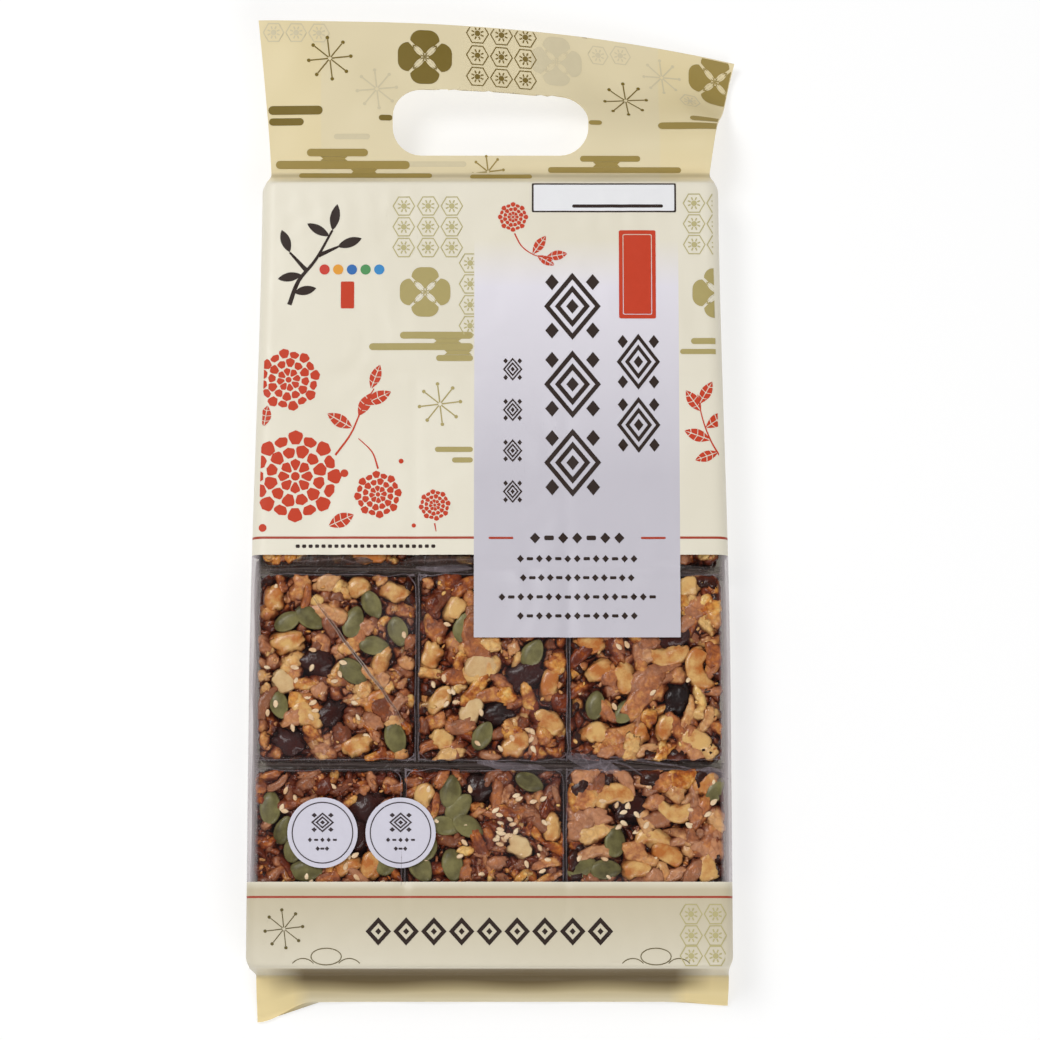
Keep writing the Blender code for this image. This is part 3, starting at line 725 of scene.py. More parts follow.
@dataclass(frozen=True)
class ClearFilm(Finish):
    """Clear film: light passes through, and it glints. Into its colour it mixes painted reflection in
    patches, painted highlight along its creases and a painted sheen where it turns down the bag's sides;
    some films also lay an even painted colour over all of it, or a painted highlight line down a strip's
    middle.
    """

    # glint is a Fresnel share of the shader; the other shares paint light into the film: reflection in
    # patches, highlight along creases, an even colour that is painted shade on dark strips and painted
    # highlight on light ones, sheen on the side walls and a highlight line down a strip's middle
    glint: float = 0.10
    reflection_patches: float = 0.05
    crease_highlight: float = 0.015
    painted_share: float = 0.0
    side_sheen: float = 0.0
    side_reach: tuple[float, float] = (0.0742, 0.0768)
    side_foot: tuple[float, float] = (0.008, 0.018)
    scale: float = 1.0
    highlight_line: Colour | None = None
    highlight_line_share: float = 0.0

    def build(self, groups: Groups) -> bpy.types.Material:
        """Makes the material."""
        made, pen, shader = self.start()
        crinkle = groups.use(pen, groups.crinkle, Scale=self.scale, Stretch=0.6)
        self.bump(pen, shader, crinkle.outputs["Height"], 0.5, 0.0015)
        clear = pen.add("ShaderNodeBsdfTransparent")
        fresnel = pen.add("ShaderNodeFresnel")
        fresnel.inputs["IOR"].default_value = FILM_IOR
        # Painted reflection in patches, and painted highlight along the creases
        cloud = pen.spread(pen.noise(pen.place(), 30.0 * self.scale, 2.0, 0.5), 0.54, 0.74, 0.0, self.reflection_patches)
        reflection_patches = pen.plus(cloud, pen.times(crinkle.outputs["Crease"], self.crease_highlight))
        glint = pen.times(fresnel.outputs[0], self.glint)
        share = pen.plus(glint, pen.plus(reflection_patches, self.painted_share), clamp=True)
        if self.highlight_line:
            # Painted highlight line down the middle of the strip, with painted highlight streaks
            streak = pen.spread(pen.noise(pen.place(), 90.0 * self.scale, 2.0, 0.5), 0.56, 0.72, 0.0, 0.45)
            middle = pen.math("POWER", pen.attribute("tint").outputs["Fac"], 6.0)
            middle = pen.math("MAXIMUM", middle, streak)
            pen.put(shader.inputs["Base Color"], pen.mix(middle, self.colour, self.highlight_line))
            share = pen.plus(share, pen.times(middle, self.highlight_line_share), clamp=True)
        # Painted sheen where the film turns down the bag's sides, weaker near the floor
        if self.side_sheen:
            across = pen.math("ABSOLUTE", pen.split(pen.attribute("flat").outputs["Vector"])[0])
            near = pen.spread(across, *self.side_reach, 0.0, self.side_sheen)
            near = pen.times(near, pen.spread(pen.split(pen.place())[2], *self.side_foot, 0.35, 1.0))
            share = pen.math("MAXIMUM", share, near)
        join = pen.add("ShaderNodeMixShader")
        pen.put(join.inputs[0], share)
        pen.put(join.inputs[1], clear.outputs[0])
        pen.put(join.inputs[2], shader.outputs[0])
        pen.put(made.node_tree.nodes["Material Output"].inputs["Surface"], join.outputs[0])
        return made


@dataclass(frozen=True)
class Ink(Finish):
    """Printed ink: an even colour, slightly worn and mottled, with the film's gloss."""

    worn: float = 0.10

    def build(self, groups: Groups) -> bpy.types.Material:
        """Makes the material."""
        made, pen, shader = self.start()
        pale = tuple(min(channel * 1.35 + 0.02, 1.0) for channel in self.colour)
        mottle = pen.noise(pen.place(), 420.0, 4.0, 0.6)
        share = pen.spread(mottle, 0.4, 0.8, 0.0, self.worn)
        pen.put(shader.inputs["Base Color"], pen.mix(share, self.colour, pale))
        crinkle = groups.use(pen, groups.crinkle, Scale=1.0, Stretch=0.8)
        rough = pen.spread(mottle, 0.3, 0.7, self.roughness - 0.04, self.roughness + 0.04)
        pen.put(shader.inputs["Roughness"], rough)
        self.bump(pen, shader, crinkle.outputs["Height"], *FILM_BUMP)
        return made


@dataclass(frozen=True)
class SyrupDough(Finish):
    """Fried dough under syrup, tinted piece by piece by the mesh's own attributes."""

    def build(self, groups: Groups) -> bpy.types.Material:
        """Makes the material."""
        made, pen, shader = self.start()
        values = {name.title(): pen.attribute(name).outputs["Fac"] for name in ("tint", "blush", "depth")}
        glaze = groups.use(pen, groups.syrup, **values)
        pen.put(shader.inputs["Base Color"], glaze.outputs["Colour"])
        pen.put(shader.inputs["Roughness"], glaze.outputs["Wet"])
        shader.inputs["Coat Weight"].default_value = 0.22
        shader.inputs["Coat Roughness"].default_value = 0.07
        self.bump(pen, shader, glaze.outputs["Height"], 0.6, 0.0007)
        return made


@dataclass(frozen=True)
class Kernel(Finish):
    """Skin of a seed, a nut or a raisin: two tones in patches along a fine grain. It darkens towards the
    edge colour where it turns away from up, which is painted shade, and where it lies deep, partly for syrup
    and partly as painted shade.
    """

    second: Colour = (0.5, 0.5, 0.5)
    # edge is the colour that the sides and deep places darken to, and rim how far the sides darken: painted
    # shade
    edge: Colour = (0.1, 0.04, 0.02)
    grain: float = 300.0
    wrinkle: float = 0.4
    gloss: float = 0.2
    stain: float = 0.35
    rim: float = 0.6

    def build(self) -> bpy.types.Material:
        """Makes the material."""
        made, pen, shader = self.start()
        place = pen.place()
        patch = pen.noise(place, self.grain, 3.0, 0.6)
        tint = pen.attribute("tint").outputs["Fac"]
        share = pen.plus(tint, pen.spread(patch, 0.3, 0.7, -self.stain, self.stain), clamp=True)
        skin = pen.mix(share, self.colour, self.second)
        # Painted shade on the sides that turn away from up
        skin = pen.mix(pen.spread(pen.up(), 0.15, 0.85, self.rim, 0.0), skin, self.edge)
        # Darker where deep: partly syrup, partly painted shade
        deep = pen.spread(pen.attribute("depth").outputs["Fac"], 0.10, 0.80, 0.0, 1.0)
        pen.put(shader.inputs["Base Color"], pen.mix(deep, skin, self.edge))
        rough = pen.spread(patch, 0.3, 0.7, self.roughness - 0.08, self.roughness + 0.08)
        pen.put(shader.inputs["Roughness"], rough)
        shader.inputs["Coat Weight"].default_value = self.gloss
        shader.inputs["Coat Roughness"].default_value = 0.15
        fine = pen.noise(place, self.grain * 3.5, 3.0, 0.6)
        height = pen.plus(patch, pen.times(fine, 0.3))
        self.bump(pen, shader, height, self.wrinkle, 0.0006)
        return made


@dataclass(frozen=True)
class Tabletop(Finish):
    """Plain pale floor with a barely visible grain."""

    def build(self) -> bpy.types.Material:
        """Makes the material."""
        made, pen, shader = self.start()
        grain = pen.noise(pen.place(), 60.0, 3.0, 0.5)
        pen.put(shader.inputs["Roughness"], pen.spread(grain, 0.3, 0.7, 0.5, 0.6))
        shader.inputs["Emission Color"].default_value = (1.0, 1.0, 1.0, 1.0)
        shader.inputs["Emission Strength"].default_value = 0.60
        return made


# Mesh helpers


def mesh_object(name: str, points: np.ndarray, faces: list, smooth: bool = True) -> bpy.types.Object:
    """A new object with a mesh of the given points and faces.

    Args:
        name: Name of the object and its mesh.
        points: Places as an (n, 3) array.
        faces: Point numbers of each face.
        smooth: Whether the faces are shaded smooth.

    Returns:
        The object, linked to the scene.
    """
    mesh = bpy.data.meshes.new(name)
    mesh.from_pydata(points.tolist(), [], faces)
    mesh.validate()
    if smooth:
        mesh.shade_smooth()
    made = bpy.data.objects.new(name, mesh)
    bpy.context.scene.collection.objects.link(made)
    return made


def set_values(mesh: bpy.types.Mesh, name: str, values: np.ndarray) -> None:
    """Keeps one number or one vector for each point of a mesh, under a name."""
    kind = "FLOAT" if values.ndim == 1 else "FLOAT_VECTOR"
    layer = mesh.attributes.new(name, kind, "POINT")
    layer.data.foreach_set("value" if kind == "FLOAT" else "vector", values.astype(np.float32).ravel())


def grid_faces(rows: int, columns: int) -> list[tuple[int, ...]]:
    """Faces of a sheet whose points are given row by row."""
    return [
        (a, a + 1, a + columns + 1, a + columns)
        for row in range(rows - 1)
        for a in range(row * columns, (row + 1) * columns - 1)
    ]


def declare(piece: bpy.types.Object, slot: str, *nodes: str) -> None:
    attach(piece, "root")
    if nodes:
        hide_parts(*nodes)
    LOG.info("%s: %d faces", piece.name, len(piece.data.polygons))


# The bag's film


@dataclass
class BagFilm:
    """The whole outer film as one closed skin: front, gussets, back, header and fin."""

    form: FilmForm
    groups: Groups
    step: float = 0.00115
    end_step: float = 0.0004
    root_step: float = 0.0005
    fin_step: float = 0.0008
    end_strip: float = 0.002
    back_step: float = 0.0036
    side_points: int = 7
    inner: float = 0.066
    tuck: float = 0.0010
    end_tuck: float = 0.0035
    end_reach: float = 0.010
    root_tuck: float = 0.012
    bulge: float = 0.0005
    sharp: float = 70.0

    def _columns(self) -> list[tuple[str, float]]:
        """Places round the bag's section: what part of it a column is on, and where there."""
        stops = [-self.inner, SIZE.label[0], SIZE.label[1], self.inner]
        fixed: list[float] = []
        for low, high in zip(stops, stops[1:]):
            count = max(1, round((high - low) / self.step))
            fixed += [low + (high - low) * i / count for i in range(count)]
        fixed.append(self.inner)
        outer = [i / 6 for i in range(1, 7)]
        columns = [("left_outer", share) for share in reversed(outer)]
        columns += [("front", x) for x in fixed]
        columns += [("right_outer", share) for share in outer]
        columns += [("right_corner", angle) for angle in (22, 45, 68, 90)]
        columns += [("right_side", (i + 1) / (self.side_points + 1)) for i in range(self.side_points)]
        columns += [("right_back", angle) for angle in (90, 45)]
        count = round(2 * self.inner / self.back_step)
        columns += [("back", 1 - 2 * i / count) for i in range(count + 1)]
        columns += [("left_back", angle) for angle in (45, 90)]
        columns += [("left_side", 1 - (i + 1) / (self.side_points + 1)) for i in range(self.side_points)]
        columns += [("left_corner", angle) for angle in (90, 68, 45, 22)]
        return columns

    def _rows(self) -> list[float]:
        """Places along the bag, denser at its ends, with rows on the edges of the window and the label."""
        s = SIZE
        stops = [
            (s.fin_root - s.fin, self.fin_step),
            (s.fin_root, self.root_step),
            (-s.edge, self.end_step),
            (-s.edge + self.end_strip, self.step),
            (s.window[0], self.step),
            (s.label[2], self.step),
            (s.window[1], self.step),
            (s.edge - self.end_strip, self.end_step),
            (s.edge, self.root_step),
            (s.header_root, self.step),
            (s.header_top, 0.0),
        ]
        rows: list[float] = []
        for (low, step), (high, _) in zip(stops, stops[1:]):
            count = max(1, round((high - low) / step))
            rows += [low + (high - low) * i / count for i in range(count)]
        rows.append(stops[-1][0])
        return rows

    def _section(self, v: float, columns: list[tuple[str, float]]) -> tuple[np.ndarray, np.ndarray]:
        """One ring of the flat layout at v, with its pattern coordinates."""
        s = SIZE
        at = np.array([v])
        left, right = (float(half[0]) for half in self.form.halves(at))
        body = abs(v) <= s.edge
        reach = s.shoulder if v > 0 else s.fin_shoulder
        shut = 1.0 if body else 1.0 - min((abs(v) - s.edge) / reach, 1.0)
        middle = float(self.form.flat_front(np.zeros(1), at)[0])
        floor = float(self.form.flat_back(at)[0])
        front_r = min(s.corner * shut, 0.6 * (middle - floor))
        back_r = min(s.back_corner * shut, 0.3 * (middle - floor))
        near_end = math.exp(-(((abs(v) - s.edge) / self.end_reach) ** 2)) if abs(v) < s.edge else 1.0
        tuck = self.root_tuck * shut * (1.0 - shut) * 4.0
        if body:
            tuck = (self.tuck + self.end_tuck * near_end) * shut
        x, z, marks = [], [], []
        for part, value in columns:
            sign = -1.0 if part.startswith("left") else 1.0
            half = left if sign < 0 else right
            px, pz, mark = value, math.nan, 1.0
            if part.endswith(("corner", "side")):
                high = float(self.form.flat_front(np.array([sign * (half - front_r)]), at)[0])
            if part.endswith("outer"):
                px = sign * (self.inner + (half - front_r - self.inner) * value)
            elif part.endswith("corner"):
                angle = math.radians(value)
                px = sign * (half - front_r + front_r * math.sin(angle))
                pz = high - front_r * (1 - math.cos(angle))
                mark = 1.0 if value < 60 else 0.0
            elif part.endswith("side"):
                pz = high - front_r + (floor + back_r - (high - front_r)) * value
                fold = 1.0 - abs(2 * value - 1.0)
                wave = ripple(np.array([[v / 0.03, value * 0.9]]), 41 if sign < 0 else 42)
                px = sign * (half - tuck * fold**1.5 + self.bulge * float(wave[0]) * shut * fold)
                mark = 0.0
            elif part == "back":
                px, pz, mark = value * (right - back_r if value > 0 else left - back_r), floor, -1.0
            elif part.endswith("back"):
                angle = math.radians(value)
                px = sign * (half - back_r + back_r * math.sin(angle))
                pz, mark = floor + back_r * (1 - math.cos(angle)), -1.0
            x.append(px)
            z.append(pz)
            marks.append(mark)
        x, z = np.array(x), np.array(z)
        on_front = np.isnan(z)
        z[on_front] = self.form.flat_front(x[on_front], np.full(on_front.sum(), v))
        along = np.full(len(x), v)
        return np.stack([x, along, z], axis=1), np.stack([x, along, np.array(marks)], axis=1)

    def _is_clear(self, middle: np.ndarray, part: str) -> bool:
        """True for a face in the window, which leaves out the label and the back."""
        s = SIZE
        if part.endswith("back"):
            return False
        if not s.window[0] < middle[1] < s.window[1]:
            return False
        on_label = s.label[0] < middle[0] < s.label[1] and middle[1] > s.label[2]
        return not (on_label and part == "front")

    def _hole_cutter(self) -> bpy.types.Object:
        """The carry hole as a closed prism in the flat layout."""
        s = SIZE
        width, height, radius = s.hole
        middle = s.header_root + s.hole_above_root + height / 2
        loop = rounded_box(0.0, middle, width, height, radius, 9)
        count = len(loop)
        points = np.array([(x, y, z) for z in (s.root_z - 0.01, s.root_z + 0.01) for x, y in loop])
        faces = [tuple(reversed(range(count))), tuple(range(count, 2 * count))]
        faces += [(i, (i + 1) % count, count + (i + 1) % count, count + i) for i in range(count)]
        return mesh_object("hole_cutter", points, faces, smooth=False)

    def _cut_hole(self, film: bpy.types.Object) -> None:
        """Cuts the carry hole through the flat film."""
        cutter = self._hole_cutter()
        cut = film.modifiers.new("carry_hole", "BOOLEAN")
        cut.operation, cut.solver, cut.object = "DIFFERENCE", "MANIFOLD", cutter
        bpy.context.view_layer.update()
        graph = bpy.context.evaluated_depsgraph_get()
        made = bpy.data.meshes.new_from_object(film.evaluated_get(graph))
        film.modifiers.clear()
        film.data = made
        bpy.data.objects.remove(cutter)

    def _lay_down(self, made: bpy.types.Mesh) -> None:
        """Mends the pattern coordinates at the carry hole and bends the flat film into shape."""
        flat, pattern = np.empty(len(made.vertices) * 3), np.empty(len(made.vertices) * 3)
        made.vertices.foreach_get("co", flat)
        made.attributes["flat"].data.foreach_get("vector", pattern)
        flat, pattern = flat.reshape(-1, 3), pattern.reshape(-1, 3)
        on_header = flat[:, 1] > SIZE.edge
        pattern[on_header, :2] = flat[on_header, :2]
        made.attributes["flat"].data.foreach_set("vector", pattern.ravel())
        laid = self.form.lay(flat[:, 0], flat[:, 1], flat[:, 2])
        made.vertices.foreach_set("co", laid.ravel())
        made.update()
        made.set_sharp_from_angle(angle=math.radians(self.sharp))

    def build(self) -> bpy.types.Object:
        """Makes the film, cuts the carry hole, bends it into shape and dresses it."""
        columns, rows = self._columns(), self._rows()
        rings = [self._section(v, columns) for v in rows]
        points = np.concatenate([ring[0] for ring in rings])
        width = len(columns)
        faces = [tuple(range(width)), tuple(reversed(range((len(rows) - 1) * width, len(rows) * width)))]
        clear = [0, 0]
        for row in range(len(rows) - 1):
            for column in range(width):
                after = (column + 1) % width
                a, b = row * width + column, row * width + after
                faces.append((b, a, a + width, b + width))
                middle = (points[a] + points[b] + points[a + width]) / 3
                part = columns[column][0] if columns[after][0] != "back" else columns[after][0]
                clear.append(int(self._is_clear(middle, part)))
        film = mesh_object("bag_film", points, faces)
        window = srgb(214, 204, 206)
        looks = (
            PrintedFilm("printed_film", srgb(238, 232, 214), 0.46),
            # The window's film, with a little painted reflection and a painted sheen down its sides
            ClearFilm("window_film", window, 0.16, reflection_patches=0.012, crease_highlight=0.004, side_sheen=0.60),
        )
        for look in looks:
            film.data.materials.append(look.build(self.groups))
        film.data.polygons.foreach_set("material_index", clear)
        set_values(film.data, "flat", np.concatenate([ring[1] for ring in rings]))
        self._cut_hole(film)
        self._lay_down(film.data)
        declare(film, "printed_film", "bag")
        return film


# Height in metres of the print over the film
INK_LIFT = 0.00009

# Printed motifs, as closed loops in millimetres


def rounded_box(x: float, y: float, width: float, height: float, radius: float, steps: int = 5) -> Loop:
    """Outline of a rectangle with rounded corners."""
    points: Loop = []
    for corner, (side_x, side_y) in enumerate(((1, 1), (-1, 1), (-1, -1), (1, -1))):
        for step in range(steps):
            angle = math.pi / 2 * (corner + step / (steps - 1))
            points.append(
                (
                    x + side_x * (width / 2 - radius) + radius * math.cos(angle),
                    y + side_y * (height / 2 - radius) + radius * math.sin(angle),
                )
            )
    return points


def oval(x: float, y: float, radius: float, tall: float = 1.0, steps: int = 28, start: float = 0.0) -> Loop:
    """Outline of a circle or an upright ellipse, or of a polygon if it has few steps."""
    angles = [start + math.tau * i / steps for i in range(steps)]
    return [(x + radius * math.cos(a), y + radius * tall * math.sin(a)) for a in angles]


def lens(x: float, y: float, length: float, width: float, turn: float, steps: int = 9) -> Loop:
    """Outline of a pointed oval that is turned by an angle in degrees."""
    cos, sin = math.cos(math.radians(turn)), math.sin(math.radians(turn))
    points: Loop = []
    for side in (1, -1):
        for i in range(steps):
            share = i / steps if side > 0 else 1 - i / steps
            px = (share - 0.5) * length
            py = side * width / 2 * math.sin(math.pi * share) ** 0.8
            points.append((x + px * cos - py * sin, y + px * sin + py * cos))
    return points


def petal(x: float, y: float, inner: float, outer: float, spread: float, turn: float) -> Loop:
    """Outline of a petal that points away from x, y: narrow at its inner end and round at its outer end."""
    points: Loop = []
    steps = 7
    for side in (-1, 1):
        for i in range(steps):
            share = i / (steps - 1) if side < 0 else 1 - i / (steps - 1)
            if side > 0 and i == 0:
                continue
            swell = 0.45 + 0.55 * math.sin(math.pi * min(share * 0.72 + 0.08, 1.0))
            round_off = math.sqrt(max(1.0 - max((share - 0.72) / 0.28, 0.0) ** 2, 0.0))
            radius = inner + (outer - inner) * share
            half = math.radians(spread) / 2 * swell * round_off
            angle = math.radians(turn) + side * half
            points.append((x + radius * math.cos(angle), y + radius * math.sin(angle)))
    return points


def stroke(path: Loop | np.ndarray, width: float, taper: float = 0.0) -> Loop:
    """Outline of a line drawn along a path, which may narrow towards its end."""
    points = np.array(path)
    ahead = np.gradient(points, axis=0)
    normal = np.stack([-ahead[:, 1], ahead[:, 0]], axis=1)
    normal /= np.linalg.norm(normal, axis=1)[:, None]
    wide = width / 2 * (1.0 - taper * np.linspace(0.0, 1.0, len(points)))[:, None]
    there = points + normal * wide
    back = (points - normal * wide)[::-1]
    return [tuple(p) for p in np.concatenate([there, back])]


def arc_path(x: float, y: float, radius: float, start: float, stop: float, steps: int = 12) -> Loop:
    """Points along an arc, with its angles in degrees."""
    angles = np.radians(np.linspace(start, stop, steps))
    return [(x + radius * math.cos(a), y + radius * math.sin(a)) for a in angles]


def clip(loop: Loop, normal: tuple[float, float], reach: float) -> Loop:
    """The part of a loop where the normal's coordinate is under reach."""
    kept: Loop = []
    for (ax, ay), (bx, by) in zip(loop, loop[1:] + loop[:1]):
        a = ax * normal[0] + ay * normal[1] - reach
        b = bx * normal[0] + by * normal[1] - reach
        if a <= 0:
            kept.append((ax, ay))
        if (a < 0 < b) or (b < 0 < a):
            share = a / (a - b)
            kept.append((ax + (bx - ax) * share, ay + (by - ay) * share))
    return kept


def tortoise_cell(x: float, y: float, wide: float = 7.6) -> list[Loop]:
    """One cell of the tortoiseshell pattern: a thin hexagon with a small burst in it."""
    radius = wide / 2
    loops = [oval(x, y, radius, 1.0, 6), oval(x, y, radius - 0.42, 1.0, 6)]
    loops.append(oval(x, y, 0.95, 1.0, 12))
    for i in range(8):
        a = math.tau * i / 8 + 0.39
        start, stop = ((x + r * math.cos(a), y + r * math.sin(a)) for r in (1.15, 2.15))
        loops.append(stroke([start, stop], 0.46))
    return loops


def four_petals(x: float, y: float, wide: float) -> list[Loop]:
    """A four-petalled flower with crossed lens shapes between the petals."""
    loops: list[Loop] = []
    for quarter in range(4):
        turn = quarter * math.pi / 2
        cos, sin = math.cos(turn), math.sin(turn)
        shape = rounded_box(wide * 0.285, 0.0, wide * 0.43, wide * 0.54, wide * 0.19, 7)
        for normal in ((-0.7071, 0.7071), (-0.7071, -0.7071)):
            shape = clip(shape, normal, -wide * 0.026)
        loops.append([(x + px * cos - py * sin, y + px * sin + py * cos) for px, py in shape])
    for turn in (45.0, 135.0, 225.0, 315.0):
        a = math.radians(turn)
        middle = (x + wide * 0.16 * math.cos(a), y + wide * 0.16 * math.sin(a))
        loops.append(lens(*middle, wide * 0.32, wide * 0.11, turn))
        loops.append(lens(*middle, wide * 0.25, wide * 0.06, turn))
    return loops


def burst(x: float, y: float, wide: float, line: float = 0.42) -> list[Loop]:
    """Eight thin rays with a dot at the end of each."""
    radius = wide / 2
    loops: list[Loop] = []
    for i in range(8):
        a = math.tau * i / 8 + 0.12
        cos, sin = math.cos(a), math.sin(a)
        start, stop = ((x + r * cos, y + r * sin) for r in (0.08 * radius, 0.86 * radius))
        loops.append(stroke([start, stop], line))
        loops.append(oval(x + 0.93 * radius * cos, y + 0.93 * radius * sin, 0.07 * radius + 0.1, 1.0, 9))
    return loops


def mist(bars: Bars, joints: Joints = (), base: float = 0.0) -> list[Loop]:
    """Long level bars of mist with rounded ends, and short links between them.

    Args:
        bars: Left end, right end, height and thickness of each bar.
        joints: Middle, lower edge and upper edge of each link.
        base: Where the heights are counted from.

    Returns:
        The loops.
    """
    loops = []
    for left, right, y, thick in bars:
        loops.append(rounded_box((left + right) / 2, base + y, right - left, thick, thick * 0.49, 4))
    for x, low, high in joints:
        low, high = base + low, base + high
        waist = (low + high) / 2
        loops.append([(x - 4.5, low), (x + 4.5, low), (x + 3.6, waist), (x + 4.5, high), (x - 4.5, high),
                      (x - 3.6, waist)])
    return loops


def rosette(x: float, y: float, radius: float, turn: float) -> list[Loop]:
    """A round garden flower in three rings of petals."""
    loops = [oval(x, y, radius * 0.10, 1.0, 12)]
    for ring, (inner, outer, count) in enumerate(((0.14, 0.40, 8), (0.43, 0.70, 12), (0.73, 1.0, 16))):
        for i in range(count):
            angle = turn + 360.0 * (i + 0.5 * (ring % 2)) / count
            wobble = 1.0 + 0.05 * math.sin(3.1 * i + ring)
            loops.append(petal(x, y, radius * inner, radius * outer * wobble, 330.0 / count, angle))
    return loops


def leaf(x: float, y: float, length: float, width: float, turn: float) -> list[Loop]:
    """A pointed leaf in two halves, with side veins left bare."""
    cos, sin = math.cos(math.radians(turn)), math.sin(math.radians(turn))
    loops: list[Loop] = []
    parts = 4
    for side in (1, -1):
        for part in range(parts):
            low, high = part / parts + 0.015, (part + 1) / parts - 0.015
            outer = []
            for i in range(5):
                share = high + (low - high) * i / 4
                lean = min(share + 0.06, 0.995)
                outer.append((lean, side * width / 2 * math.sin(math.pi * lean) ** 0.9))
            corners = [(low, side * 0.16), (high, side * 0.16)] + outer
            if part == parts - 1:
                corners = [(low, side * 0.16), (0.995, side * 0.05)] + outer[1:]
            loops.append(
                [(x + px * length * cos - py * sin, y + px * length * sin + py * cos) for px, py in corners]
            )
    return loops


def diamond(x: float, y: float, wide: float, tall: float) -> Loop:
    """Outline of a diamond, from its middle, half its width and half its height."""
    return [(x + wide, y), (x, y + tall), (x - wide, y), (x, y - tall)]


def lozenge(x: float, y: float, wide: float, tall: float) -> list[Loop]:
    """A dark ornament of nested diamonds with small diamonds at its corners."""
    loops = [diamond(x, y, wide / 2 * share, tall / 2 * share) for share in (1.0, 0.80, 0.62, 0.42)]
    loops.append(diamond(x, y, wide * 0.11, tall * 0.11))
    for side_x in (-1, 1):
        for side_y in (-1, 1):
            middle = (x + side_x * wide * 0.36, y + side_y * tall * 0.36)
            loops.append(diamond(*middle, wide * 0.12, tall * 0.12))
    return loops


def smooth_line(path: Loop) -> np.ndarray:
    """A smooth line through a few points."""
    points = np.array(path)
    padded = np.concatenate([2 * points[:1] - points[1:2], points, 2 * points[-1:] - points[-2:-1]])
    made = []
    for i in range(1, len(padded) - 2):
        p0, p1, p2, p3 = padded[i - 1 : i + 3]
        for t in np.linspace(0.0, 1.0, 6, endpoint=False):
            square = (2 * p0 - 5 * p1 + 4 * p2 - p3) * t**2
            cube = (3 * p1 - 3 * p2 + p3 - p0) * t**3
            made.append(0.5 * (2 * p1 + (p2 - p0) * t + square + cube))
    made.append(points[-1])
    return np.array(made)


